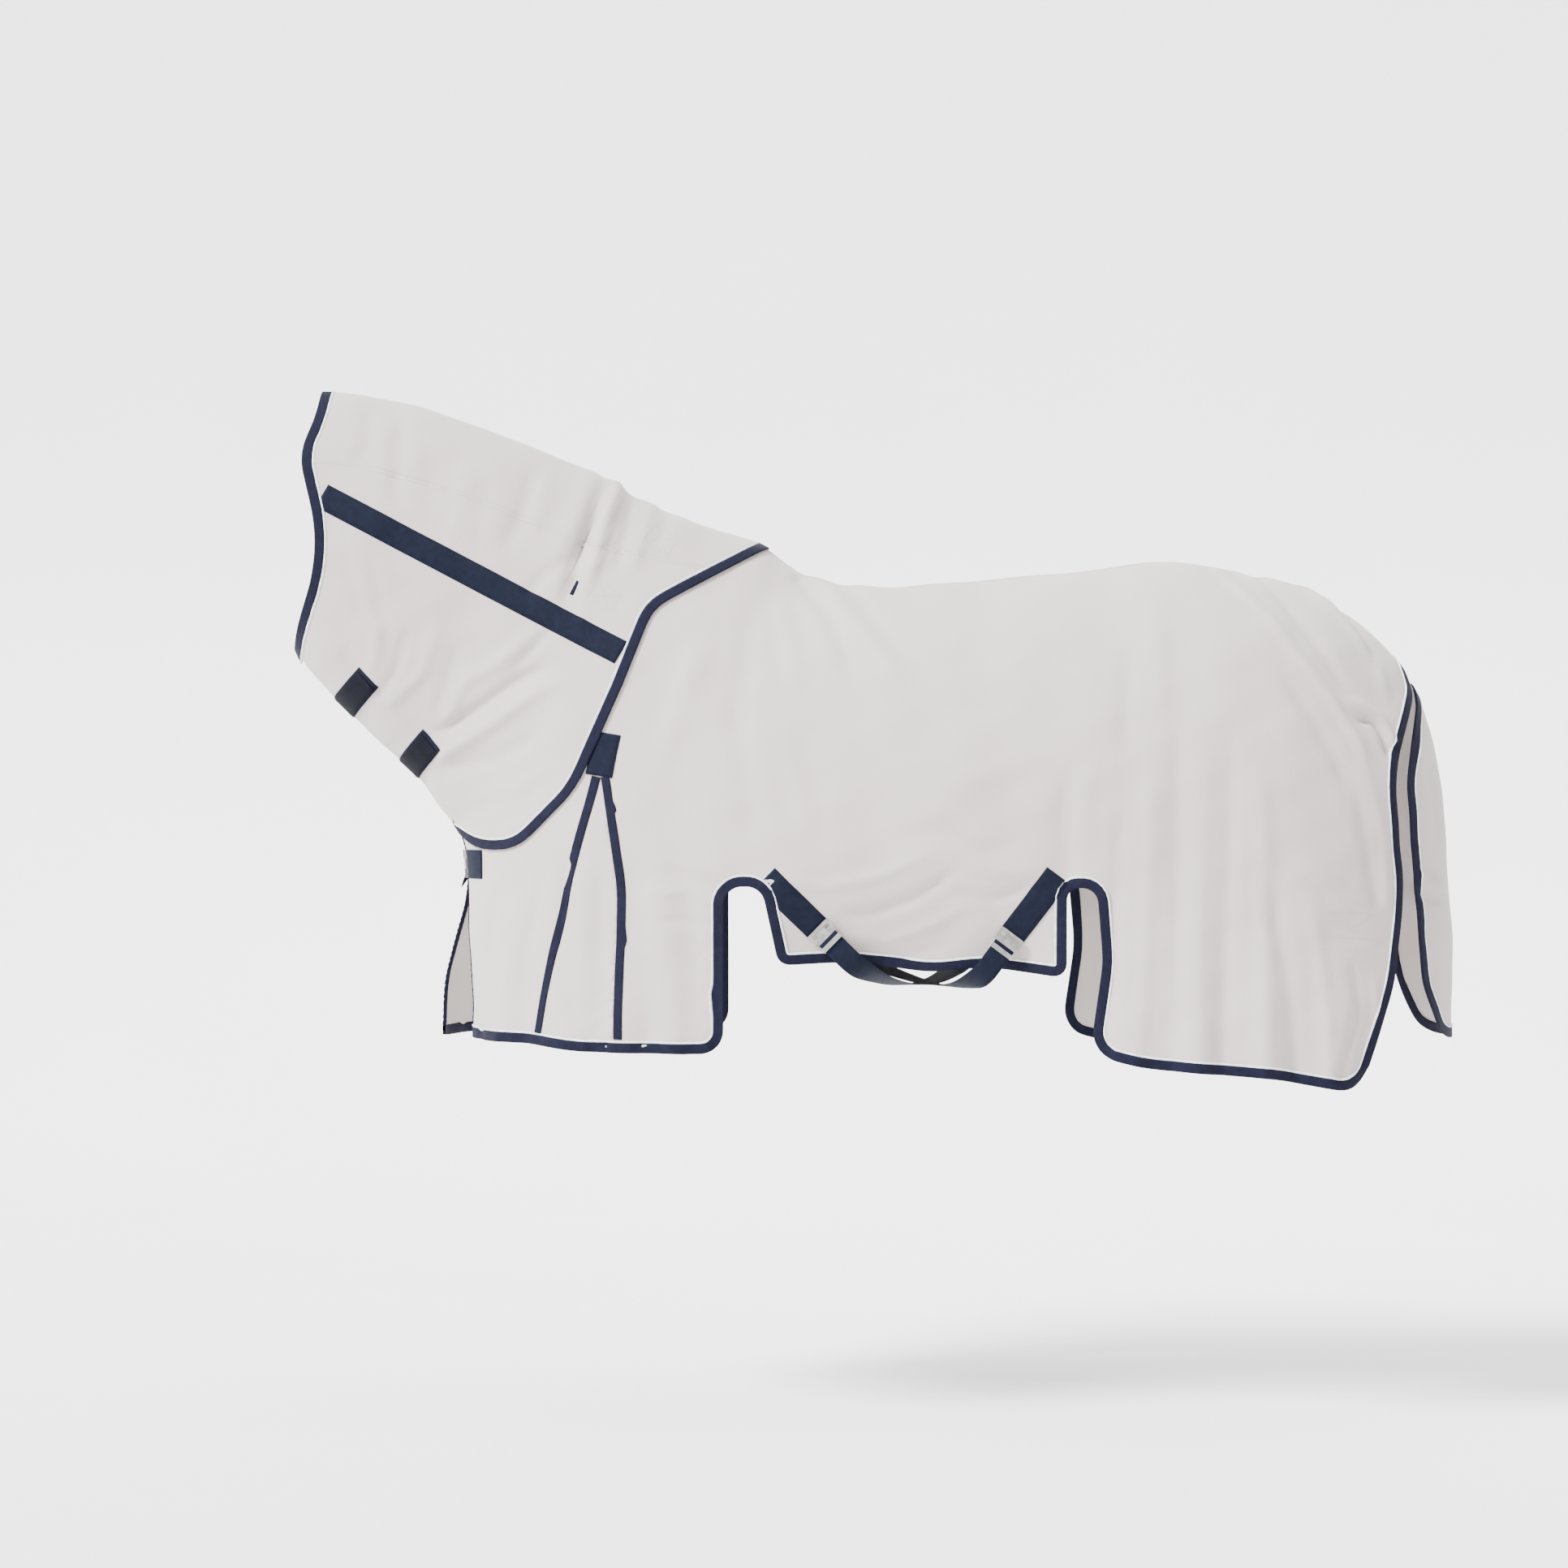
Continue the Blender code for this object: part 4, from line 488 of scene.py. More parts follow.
def fold_side(points, side, layer):
    """The folds, ripples and flutes of the left (-1) or right (1) side."""
    moved = points + np.array((FAR_SHIFT, 0.0)) if side > 0 else points
    height = fold_strokes(moved, layer) * (FAR_SHARE if side > 0 else 1.0)
    x, z = moved.T
    for number, (length, turn, size) in enumerate(RIPPLES):
        wave = 2 * math.pi * (x * math.cos(turn) + z * math.sin(turn)) / length
        height += size * np.sin(wave + 1.9 * number + 0.8 * side)
    if layer == "body":
        ramp = smooth(-z, 0.62, 0.95) * smooth(np.abs(x - BELLY[0]), 0.28, 0.40)
        height += FLUTE * ramp * np.sin(2 * math.pi * x / 0.12 + 2.0 * np.sin(4.1 * x))
    return height


def fold_height(points, half_width, side, layer):
    """How far the cloth stands off the smooth form, the same on both sides at the top."""
    if layer == "plain":
        return np.zeros(len(points))
    left, right = fold_side(points, -1, layer), fold_side(points, 1, layer)
    own = np.where(side < 0, left, right)
    top = 1.0 - smooth(half_width, 0.0, 0.05)
    height = own * (1.0 - top) + (left + right) / 2 * top
    for x, z, radius in FLAT_SPOTS:
        distance = np.hypot(points[:, 0] - x, points[:, 1] - z)
        height *= smooth(distance, radius, 2.4 * radius)
    if layer == "body":
        distance, _, hand = nearest_on(points, NECK_REAR_PATH)
        height *= smooth(hand * distance, -0.010, 0.035)
    if layer == "neck":
        distance, _, hand = nearest_on(points, NECKLINE_PATH)
        behind = smooth(hand * distance, -0.030, 0.0)
        height = np.where(height < 0, height * (1.0 - behind), height)
    return height


# ---------------------------------------------------------------- the sheet's coordinates
class Surface:
    """The form as a sheet with its own coordinates: u counts columns from head to tail,
    and v is the distance down from the topline, negative on the left side."""

    FINE = 200
    TABLE_STEP = 0.004

    def __init__(self, per_station):
        self.form = Form(TOPLINE, CHESTLINE, GIRTHS)
        tops = curve_through([station[0] for station in STATIONS], per_station)
        feet = curve_through([s[1] for s in STATIONS[:THROAT_STATIONS + 1]], per_station)
        tail = [np.array(s[1]) for s in STATIONS[THROAT_STATIONS:]]
        for start, end in zip(tail, tail[1:]):
            for index in range(1, per_station + 1):
                feet.append(start + (end - start) * index / per_station)
        self.tops, self.feet = np.array(tops), np.array(feet)
        self.closed = np.arange(len(tops)) <= THROAT_STATIONS * per_station
        self.tops = self.form.onto_outline(self.tops)
        self.feet[self.closed] = self.form.onto_outline(self.feet[self.closed])
        self.line = self.feet - self.tops
        self.straight = np.linalg.norm(self.line, axis=1)
        self.count = len(tops)
        self.measure()

    def shares(self, closed):
        run = np.linspace(0.0, 1.0, self.FINE + 1)
        return 0.5 - 0.5 * np.cos(math.pi * run) if closed else run ** 2

    def measure(self):
        """Tables from the share of each column's straight line to the length along the cloth,
        and back."""
        self.arcs = np.zeros((self.count, self.FINE + 1))
        steps = int(2.2 / self.TABLE_STEP)
        self.table = np.zeros((self.count, steps))
        lengths = np.arange(steps) * self.TABLE_STEP
        for column in range(self.count):
            shares = self.shares(self.closed[column])
            side_view = self.tops[column] + shares[:, None] * self.line[column]
            width = np.sqrt(np.maximum(self.form.value(side_view), 0.0))
            chain = np.column_stack([side_view, width])
            run = np.append(0.0, np.cumsum(np.linalg.norm(np.diff(chain, axis=0), axis=1)))
            self.arcs[column] = run
            past = np.maximum(lengths - run[-1], 0.0) / self.straight[column]
            self.table[column] = np.interp(lengths, run, shares) + past
        self.length = self.arcs[:, -1]

    def end(self, u):
        """The cloth's whole length down a column."""
        return np.interp(u, np.arange(self.count), self.length)

    def side_view(self, u, v):
        u = np.clip(u, 0, self.count - 1.0001)
        v = np.abs(v)
        column = u.astype(int)
        part = u - column
        spot = np.minimum(v / self.TABLE_STEP, self.table.shape[1] - 1.001)
        row = spot.astype(int)
        ahead = spot - row
        result = 0.0
        for step, weight in ((0, 1.0 - part), (1, part)):
            c = column + step
            share = self.table[c, row] * (1.0 - ahead) + self.table[c, row + 1] * ahead
            result = result + weight[:, None] * (self.tops[c] + self.line[c] * share[:, None])
        return result

    def coordinates(self, points):
        """The sheet coordinates of side view points: v is positive, or negative above the
        topline."""
        points = np.atleast_2d(np.array(points, dtype=float))
        apart = points[:, None, :] - self.tops[None]
        cross = self.line[:, 0] * apart[..., 1] - self.line[:, 1] * apart[..., 0]
        cross = cross / self.straight
        between = (cross[:, :-1] > 0) & (cross[:, 1:] <= 0)
        rows = np.arange(len(points))
        column = np.where(between.any(axis=1), between.argmax(axis=1),
                          np.where(cross[:, 0] <= 0, 0, self.count - 2))
        a, b = cross[rows, column], cross[rows, column + 1]
        part = a / (a - b)
        v = np.zeros(len(points))
        for step, weight in ((0, 1.0 - part), (1, part)):
            c = column + step
            share = (apart[rows, c] * self.line[c]).sum(axis=1) / self.straight[c] ** 2
            v += weight * self.arc_at(c, share)
        return np.column_stack([column + part, v])

    def arc_at(self, column, share):
        inside = np.clip(share, 0.0, 1.0)
        closed = np.arccos(1.0 - 2.0 * inside) / math.pi
        spot = np.where(self.closed[column], closed, np.sqrt(inside)) * self.FINE
        row = np.minimum(spot.astype(int), self.FINE - 1)
        ahead = spot - row
        arc = self.arcs[column, row] * (1.0 - ahead) + self.arcs[column, row + 1] * ahead
        return arc + (share - inside) * self.straight[column]

    def place(self, u, v, lift, layer):
        """World points over sheet coordinates, lifted off the folded cloth, and normals."""
        u, v = np.asarray(u, dtype=float), np.asarray(v, dtype=float)
        side = np.where(v < 0, -1.0, 1.0)
        flat = self.side_view(u, v)
        width = np.sqrt(np.maximum(self.form.value(flat), 0.0))
        width = np.where(v == 0, 0.0, width)
        slope = self.form.slope(flat)
        normal = np.column_stack([-slope[:, 0], 2.0 * side * width, -slope[:, 1]])
        normal /= np.linalg.norm(normal, axis=1)[:, None]
        x, z = flat.T
        swing = FLAP_SWING * smooth(-z, 0.58, 0.84) * smooth(-x, 0.34, 0.62)
        x = x - np.where(side > 0, swing, 0.0)
        height = lift + fold_height(flat, width, side, layer)
        point = np.column_stack([x, side * width, z]) + normal * np.asarray(height)[:, None]
        return point, normal

    def path(self, side_view_path, side, spacing=0.008):
        """Signed sheet coordinates along a side view path, cut off at the topline and at the
        chest line."""
        spots = self.coordinates(evenly(side_view_path, 0.004))
        limit = self.end(spots[:, 0])
        kept = (spots[:, 1] >= 0) & (spots[:, 1] <= limit) & (spots[:, 0] <= self.count - 1)
        first, last = kept.argmax(), len(kept) - kept[::-1].argmax()
        for index, beyond in ((first, first - 1), (last - 1, last)):
            if 0 <= beyond < len(spots) and spots[beyond, 1] < 0:
                share = spots[index, 1] / (spots[index, 1] - spots[beyond, 1])
                spots[beyond] = spots[index] + (spots[beyond] - spots[index]) * share
                spots[beyond, 1] = 0.0
                first, last = min(first, beyond), max(last, beyond + 1)
        spots = spots[first:last]
        place, _ = self.place(spots[:, 0], spots[:, 1], 0.0, "plain")
        run = np.append(0.0, np.cumsum(np.linalg.norm(np.diff(place, axis=0), axis=1)))
        wanted = np.linspace(0.0, run[-1], max(2, round(run[-1] / spacing) + 1))
        spots = np.column_stack([np.interp(wanted, run, spots[:, k]) for k in (0, 1)])
        spots[:, 1] *= side
        return spots

    def across(self, spots, distance, hand):
        """Sheet coordinates moved sideways from a path by world distances.  The hand is 1
        for the left of the path as seen from outside the sheet."""
        u, v = spots.T
        step = 0.006
        here, normal = self.place(u, v, 0.0, "plain")
        near = np.clip(v, step - self.end(u), self.end(u) - step)
        columns = self.place(u + 0.2, near, 0.0, "plain")[0]
        columns = (columns - self.place(u - 0.2, near, 0.0, "plain")[0]) / 0.4
        rows = self.place(u, near + step, 0.0, "plain")[0]
        rows = rows - self.place(u, near - step, 0.0, "plain")[0]
        rows /= 2 * step
        along = np.gradient(here, axis=0)
        along /= np.maximum(np.linalg.norm(along, axis=1), 1e-9)[:, None]
        aside = np.cross(normal, along) * hand
        aside /= np.linalg.norm(aside, axis=1)[:, None]
        cc, cr, rr = ((a * b).sum(axis=1) for a, b in
                      ((columns, columns), (columns, rows), (rows, rows)))
        ca, ra = (columns * aside).sum(axis=1), (rows * aside).sum(axis=1)
        scale = np.maximum(cc * rr - cr * cr, 1e-12)
        du = (ca * rr - ra * cr) / scale
        dv = (ra * cc - ca * cr) / scale
        distance = np.atleast_1d(distance)
        return (u[:, None] + du[:, None] * distance, v[:, None] + dv[:, None] * distance)


# ---------------------------------------------------------------- meshes
def new_object(name, corners, faces, material, uvs=None):
    """A smooth shaded mesh object in world coordinates."""
    data = bpy.data.meshes.new(name)
    data.from_pydata([tuple(c) for c in corners], [], faces)
    data.polygons.foreach_set("use_smooth", [True] * len(data.polygons))
    if uvs is not None:
        layer = data.uv_layers.new(name="cloth")
        loops = np.zeros(len(data.loops), dtype=int)
        data.loops.foreach_get("vertex_index", loops)
        layer.data.foreach_set("uv", np.asarray(uvs, dtype=float)[loops].ravel())
    data.materials.append(material)
    data.update()
    thing = bpy.data.objects.new(name, data)
    bpy.context.scene.collection.objects.link(thing)
    return thing


def region(surface, step, outline):
    """Sheet coordinates round a closed side view outline."""
    closed = evenly(np.vstack([outline, outline[:1]]), step)[:-1]
    return surface.coordinates(closed)


def cut_sheet(surface, step, outlines, margin=0.0):
    """Triangles of the sheet cut by closed outlines in sheet coordinates.  Returns the
    corners' places, the triangles and, for each, the set of outlines that it is inside."""
    scale = step
    corners, edges, faces = [], [], []

    def chain(spots, cyclic):
        first = len(corners)
        corners.extend((u * scale, v) for u, v in spots)
        count = len(corners) - first
        edges.extend((first + k, first + k + 1) for k in range(count - 1))
        return list(range(first, first + count)) if cyclic else None

    columns = np.arange(surface.count)
    limit = surface.length - np.where(surface.closed, margin, 0.0)
    chain([(u, 0.0) for u in columns], False)
    chain([(u, limit[u]) for u in columns], False)
    chain([(surface.count - 1, v) for v in np.arange(0.0, limit[-1], step)], False)
    paths = []
    for spots in outlines.values():
        after = np.roll(spots, -1, axis=0)
        if (spots[:, 0] * after[:, 1] - spots[:, 1] * after[:, 0]).sum() < 0:
            spots = spots[::-1]
        paths.append(spots)
        faces.append(chain(spots, True))
    low = min(p[:, 0].min() for p in paths)
    high = max(p[:, 0].max() for p in paths)
    for u in columns:
        if low - 1 <= u <= high + 1:
            for v in np.arange(step, limit[u] - step / 2, step):
                corners.append((u * scale, v))
    result = delaunay_2d_cdt([Vector(c) for c in corners], edges, faces, 0, 1e-6)
    places = np.array([(p.x / scale, p.y) for p in result[0]])
    places[np.abs(places[:, 1]) < 1e-6, 1] = 0.0
    names = list(outlines)
    triangles, inside = [], []
    for face, origins in zip(result[2], result[5]):
        middle = places[list(face)].mean(axis=0)
        if not origins or middle[1] < 0 or middle[0] > surface.count - 1:
            continue
        if middle[1] > np.interp(middle[0], columns, limit):
            continue
        triangles.append(tuple(face))
        inside.append({names[k] for k in origins})
    return places, triangles, inside


def shell(name, surface, places, triangles, sides, layer, lifts, material):
    """A thin closed sheet of cloth over the given triangles, on one side or on both."""
    triangles = np.array(triangles)
    used, triangles = np.unique(triangles, return_inverse=True)
    triangles = triangles.reshape(-1, 3)
    places = places[used]
    if len(sides) == 2:
        count = len(places)
        middle = places[:, 1] == 0
        twin = np.where(middle, np.arange(count), count + np.cumsum(~middle) - 1)
        other = places[~middle] * (1.0, -1.0)
        triangles = np.vstack([triangles, twin[triangles][:, ::-1]])
        places = np.vstack([places, other])
    else:
        places = places * (1.0, sides[0])
    u, v = places.T
    if len(sides) == 1:
        v = np.where(v == 0, 1e-9 * sides[0], v)
    outer, _ = surface.place(u, v, np.full(len(u), lifts[1]), layer)
    inner, _ = surface.place(u, v, np.full(len(u), lifts[0]), layer)
    if len(sides) == 1:
        for row in (outer, inner):
            row[:, 1] = sides[0] * np.maximum(sides[0] * row[:, 1], SPINE_GAP)
    count = len(u)
    pairs = np.vstack([triangles[:, [0, 1]], triangles[:, [1, 2]], triangles[:, [2, 0]]])
    keys = np.sort(pairs, axis=1)
    _, index, amount = np.unique(keys, axis=0, return_index=True, return_counts=True)
    rim = pairs[index[amount == 1]]
    a, b, c = (outer[triangles[:, k]] for k in range(3))
    facing = np.cross(b - a, c - a)
    outward = surface.place(u, v, np.zeros(len(u)), "plain")[1][triangles[:, 0]]
    flip = (facing * outward).sum() < 0
    faces = [tuple(t) for t in (triangles[:, ::-1] if flip else triangles)]
    faces += [tuple(t + count) for t in (triangles if flip else triangles[:, ::-1])]
    for a, b in rim:
        quad = (a, b, b + count, a + count)
        faces.append(quad if flip else quad[::-1])
    flat = surface.side_view(u, v)
    uvs = np.column_stack([flat[:, 0], v])
    thing = new_object(name, np.vstack([outer, inner]), faces, material,
                       np.vstack([uvs, uvs]))
    area = 0.5 * np.linalg.norm(facing, axis=1).sum()
    thing["cloth_area"] = float(area)
    return thing


def tape_profile(near, far, lifts):
    """The cross section of flat webbing: (distance across, lift) round it."""
    low, high = lifts
    soft = min(SOFT_CORNER, (high - low) / 2)
    inner = (far - near) / 4
    return [(near, low + soft), (near, high - soft), (near + soft, high),
            (near + inner, high), (far - inner, high), (far - soft, high),
            (far, high - soft), (far, low + soft), (far - soft, low),
            (far - inner, low), (near + inner, low), (near + soft, low)]


def piping_profile(near, lifts):
    """The cross section of a half round cord sewn beside a binding."""
    base, top = lifts
    points = []
    for index in range(7):
        angle = math.pi * index / 6
        points.append((near + PIPING / 2 - PIPING / 2 * math.cos(angle),
                       base + (top - base) * math.sin(angle)))
    return points


def strip(name, surface, spots, profile, layer, material, hand=1.0):
    """A closed strip with the given cross section, swept along a path on the folded cloth."""
    distances = np.array([p[0] for p in profile])
    lifts = np.array([p[1] for p in profile])
    u, v = surface.across(spots, distances, hand)
    rows, around = u.shape
    lift = np.broadcast_to(lifts, u.shape)
    corners, _ = surface.place(u.ravel(), v.ravel(), lift.ravel(), layer)
    middle = corners.reshape(rows, around, 3).mean(axis=1)
    run = np.append(0.0, np.cumsum(np.linalg.norm(np.diff(middle, axis=0), axis=1)))
    girth = np.append(0.0, np.cumsum(np.hypot(np.diff(distances), np.diff(lifts))))
    uvs = np.column_stack([np.tile(girth, rows), np.repeat(run, around)])
    return swept(name, corners, rows, around, material, uvs)


def swept(name, corners, rows, around, material, uvs):
    """A tube of quads with end caps, its faces turned outward."""
    faces = []
    for row in range(rows - 1):
        for k in range(around):
            after = (k + 1) % around
            a, b = row * around + k, row * around + after
            faces.append((a, b, b + around, a + around))
    faces.append(tuple(range(around))[::-1])
    faces.append(tuple(range((rows - 1) * around, rows * around)))
    ring = corners.reshape(rows, around, 3)
    hub = ring.mean(axis=1)
    total = 0.0
    for row in range(0, rows - 1, max(1, rows // 8)):
        for k in range(around):
            after = (k + 1) % around
            across = ring[row, after] - ring[row, k]
            along = ring[row + 1, k] - ring[row, k]
            total += np.cross(across, along) @ (ring[row, k] - hub[row])
    if total < 0:
        faces = [face[::-1] for face in faces]
    return new_object(name, corners, faces, material, uvs)


def join(name, things):
    """One object from several that share their materials."""
    target = things[0]
    if len(things) > 1:
        with bpy.context.temp_override(active_object=target, object=target,
                                       selected_objects=things,
                                       selected_editable_objects=things):
            bpy.ops.object.join()
    target.name = name
    target.data.name = name
    return target


def stitches(name, surface, runs, layer, lift, material, radius=0.00045):
    """Stitches, each a slim bead of thread between two places on the cloth."""
    starts = np.vstack([run[0] for run in runs])
    ends = np.vstack([run[1] for run in runs])
    flat = np.full(len(starts), lift)
    a, normal = surface.place(*starts.T, flat, layer)
    b, _ = surface.place(*ends.T, flat, layer)
    along = b - a
    length = np.maximum(np.linalg.norm(along, axis=1), 1e-6)[:, None]
    aside = np.cross(along / length, normal) * radius
    rise = normal * radius
    middle = (a + b) / 2
    corners = np.stack([a, b, middle + aside, middle + rise, middle - aside, middle - rise],
                       axis=1).reshape(-1, 3)
    shape = [(0, 3, 2), (0, 4, 3), (0, 5, 4), (0, 2, 5), (1, 2, 3), (1, 3, 4), (1, 4, 5),
             (1, 5, 2)]
    faces = [tuple(6 * number + k for k in face) for number in range(len(a)) for face in shape]
    return new_object(name, corners, faces, material)


def straight_run(surface, spots, distance, hand, pitch=0.004, share=0.72):
    """Where straight stitches start and end, along a line beside a path."""
    u, v = surface.across(spots, distance, hand)
    line = np.column_stack([u[:, 0], v[:, 0]])
    place, _ = surface.place(*line.T, 0.0, "plain")
    run = np.append(0.0, np.cumsum(np.linalg.norm(np.diff(place, axis=0), axis=1)))
    begin = np.arange(0.0, run[-1] - pitch, pitch)

    def at(lengths):
        return np.column_stack([np.interp(lengths, run, line[:, k]) for k in (0, 1)])

    return at(begin), at(begin + pitch * share)


def zigzag_run(surface, spots, distance, hand, width=0.0022, pitch=0.0045):
    """Where zigzag stitches start and end, along a line beside a path."""
    near, _ = straight_run(surface, spots, distance - width / 2, hand, pitch / 2)
    far, _ = straight_run(surface, spots, distance + width / 2, hand, pitch / 2)
    count = min(len(near), len(far))
    odd = (np.arange(count) % 2)[:, None]
    points = np.where(odd == 0, near[:count], far[:count])
    return points[:-1], points[1:]


# ---------------------------------------------------------------- materials
class Paint:
    """A small helper that adds nodes to a material and joins them to its shader."""

    def __init__(self, name, colour, roughness, metallic=0.0):
        self.material = bpy.data.materials.new(name)
        self.material.use_nodes = True
        self.nodes = self.material.node_tree.nodes
        self.links = self.material.node_tree.links
        self.shader = self.nodes["Principled BSDF"]
        self.shader.inputs["Base Color"].default_value = (*colour, 1.0)
        self.shader.inputs["Roughness"].default_value = roughness
        self.shader.inputs["Metallic"].default_value = metallic
        self.shader.inputs["Specular IOR Level"].default_value = 0.5 if metallic else 0.12
        self.material.diffuse_color = (*colour, 1.0)

    def sheen(self, weight, roughness):
        self.shader.inputs["Sheen Weight"].default_value = weight
        self.shader.inputs["Sheen Roughness"].default_value = roughness

    def node(self, kind, **values):
        node = self.nodes.new(kind)
        for key, value in values.items():
            if hasattr(node, key):
                setattr(node, key, value)
            else:
                node.inputs[key.replace("_", " ")].default_value = value
        return node

    def place(self, by_cloth, turn=0.0):
        """Texture places: along the cloth in metres, or in the object's own space."""
        source = self.node("ShaderNodeTexCoord")
        mapping = self.node("ShaderNodeMapping")
        mapping.inputs["Rotation"].default_value = (0.0, 0.0, turn)
        self.links.new(source.outputs["UV" if by_cloth else "Object"],
                       mapping.inputs["Vector"])
        return mapping.outputs["Vector"]

    def threads(self, spot, pitch, direction):
        """Soft ridges one pitch apart, as 0 to 1."""
        wave = self.node("ShaderNodeTexWave", Scale=math.pi / 10 / pitch, Distortion=0.0)
        wave.wave_type = "BANDS"
        wave.bands_direction = direction
        self.links.new(spot, wave.inputs["Vector"])
        return wave.outputs["Fac"]

    def noise(self, spot, size, detail=3.0):
        noise = self.node("ShaderNodeTexNoise", Scale=1.0 / size, Detail=detail)
        self.links.new(spot, noise.inputs["Vector"])
        return noise.outputs["Fac"]

    def combine(self, operation, first, second):
        node = self.node("ShaderNodeMath")
        node.operation = operation
        for socket, value in zip(node.inputs, (first, second)):
            if isinstance(value, float):
                socket.default_value = value
            else:
                self.links.new(value, socket)
        return node.outputs["Value"]

    def colours(self, factor, dark, light, low=0.3, high=0.7):
        ramp = self.node("ShaderNodeValToRGB")
        ramp.color_ramp.elements[0].position = low
        ramp.color_ramp.elements[0].color = (*dark, 1.0)
        ramp.color_ramp.elements[1].position = high
        ramp.color_ramp.elements[1].color = (*light, 1.0)
        self.links.new(factor, ramp.inputs["Fac"])
        return ramp.outputs["Color"]

    def bump(self, height, distance, strength=1.0, before=None):
        bump = self.node("ShaderNodeBump", Strength=strength, Distance=distance)
        self.links.new(height, bump.inputs["Height"])
        if before:
            self.links.new(before, bump.inputs["Normal"])
        return bump.outputs["Normal"]

    def use(self, socket, output):
        self.links.new(output, self.shader.inputs[socket])


def shade(colour, factor):
    return tuple(min(channel * factor, 1.0) for channel in colour)


def cloth_paint(name, colour, pitch):
    """Fine twill mesh: two crossed sets of threads, broad colour changes and small dents."""
    paint = Paint(name, colour, 0.88)
    paint.sheen(0.25, 0.45)
    spot = paint.place(True, math.radians(38))
    warp = paint.threads(spot, pitch, "X")
    weft = paint.threads(spot, pitch * 0.72, "Y")
    weave = paint.combine("MULTIPLY", warp, weft)
    body = paint.place(False)
    broad = paint.noise(body, 0.35, 4.0)
    fleck = paint.noise(body, 0.006, 2.0)
    tone = paint.combine("ADD", paint.combine("MULTIPLY", weave, 0.30),
                         paint.combine("MULTIPLY", broad, 0.55))
    tone = paint.combine("ADD", tone, paint.combine("MULTIPLY", fleck, 0.15))
    paint.use("Base Color", paint.colours(tone, shade(colour, 0.93), shade(colour, 1.03),
                                          0.20, 0.62))
    dents = paint.noise(body, 0.060, 2.0)
    normal = paint.bump(dents, 0.004, 0.30)
    paint.use("Normal", paint.bump(weave, 0.00035, 0.8, normal))
    return paint.material


def webbing_paint(name, colour, pitch, roughness, sheen):
    """Ribbed tape: ribs across, a fainter set along, and a little lint."""
    paint = Paint(name, colour, roughness)
    paint.sheen(sheen, 0.4)
    spot = paint.place(True)
    ribs = paint.threads(spot, pitch, "Y")
    cords = paint.threads(spot, pitch * 1.6, "X")
    weave = paint.combine("ADD", paint.combine("MULTIPLY", ribs, 0.6),
                          paint.combine("MULTIPLY", cords, 0.4))
    lint = paint.noise(paint.place(False), 0.012, 4.0)
    tone = paint.combine("ADD", paint.combine("MULTIPLY", weave, 0.35),
                         paint.combine("MULTIPLY", lint, 0.65))
    paint.use("Base Color", paint.colours(tone, shade(colour, 0.72), shade(colour, 1.45)))
    paint.use("Normal", paint.bump(weave, 0.0004, 0.9))
    return paint.material


def steel_paint(name, colour):
    """Dull nickel with fine scratches and cloudy wear."""
    paint = Paint(name, colour, 0.32, 1.0)
    spot = paint.place(False)
    cloud = paint.noise(spot, 0.010, 4.0)
    scratch = paint.noise(spot, 0.0012, 2.0)
    paint.use("Base Color", paint.colours(cloud, shade(colour, 0.75), shade(colour, 1.15)))
    paint.use("Roughness", paint.combine("ADD", paint.combine("MULTIPLY", cloud, 0.25),
                                         0.20))
    paint.use("Normal", paint.bump(scratch, 0.0001, 0.35))
    return paint.material


# ---------------------------------------------------------------- settings
def colour_setting(name, value, description):
    return bpy.props.FloatVectorProperty(name=name, description=description, size=3,
                                         default=value, min=0.0, max=1.0, subtype="COLOR")


class FlySheetSettings(bpy.types.PropertyGroup):
    """What a user would change on the sheet."""
    cell: bpy.props.FloatProperty(
        name="Cell", description="Distance between the cloth's mesh points", default=0.0095,
        min=0.006, max=0.05, unit="LENGTH")
    thread_pitch: bpy.props.FloatProperty(
        name="Thread pitch", description="Distance between the mesh cloth's threads",
        default=0.0016, min=0.0005, max=0.01, unit="LENGTH")
    rib_pitch: bpy.props.FloatProperty(
        name="Rib pitch", description="Distance between the webbing's ribs", default=0.0014,
        min=0.0005, max=0.01, unit="LENGTH")
    cloth: colour_setting("Cloth", (0.500, 0.452, 0.432), "Colour of the mesh cloth")
    lining: colour_setting("Lining", (0.480, 0.455, 0.500), "Colour of tape on the inside")
    binding: colour_setting("Binding", (0.0045, 0.0048, 0.0150), "Colour of the edge binding")
    band: colour_setting("Band", (0.0030, 0.0045, 0.0130), "Colour of the neck band and tabs")
    strap: colour_setting("Straps", (0.0018, 0.0022, 0.0060), "Colour of the throat straps")
    piping: colour_setting("Piping", (0.680, 0.740, 0.840), "Colour of the piping")
    thread: colour_setting("Thread", (0.560, 0.540, 0.550), "Colour of the stitching")
    steel: colour_setting("Steel", (0.460, 0.450, 0.440), "Colour of the metal fittings")


KEY_POWER, KEY_SOFTNESS, SKY_POWER = 11.0, 0.30, 1.35


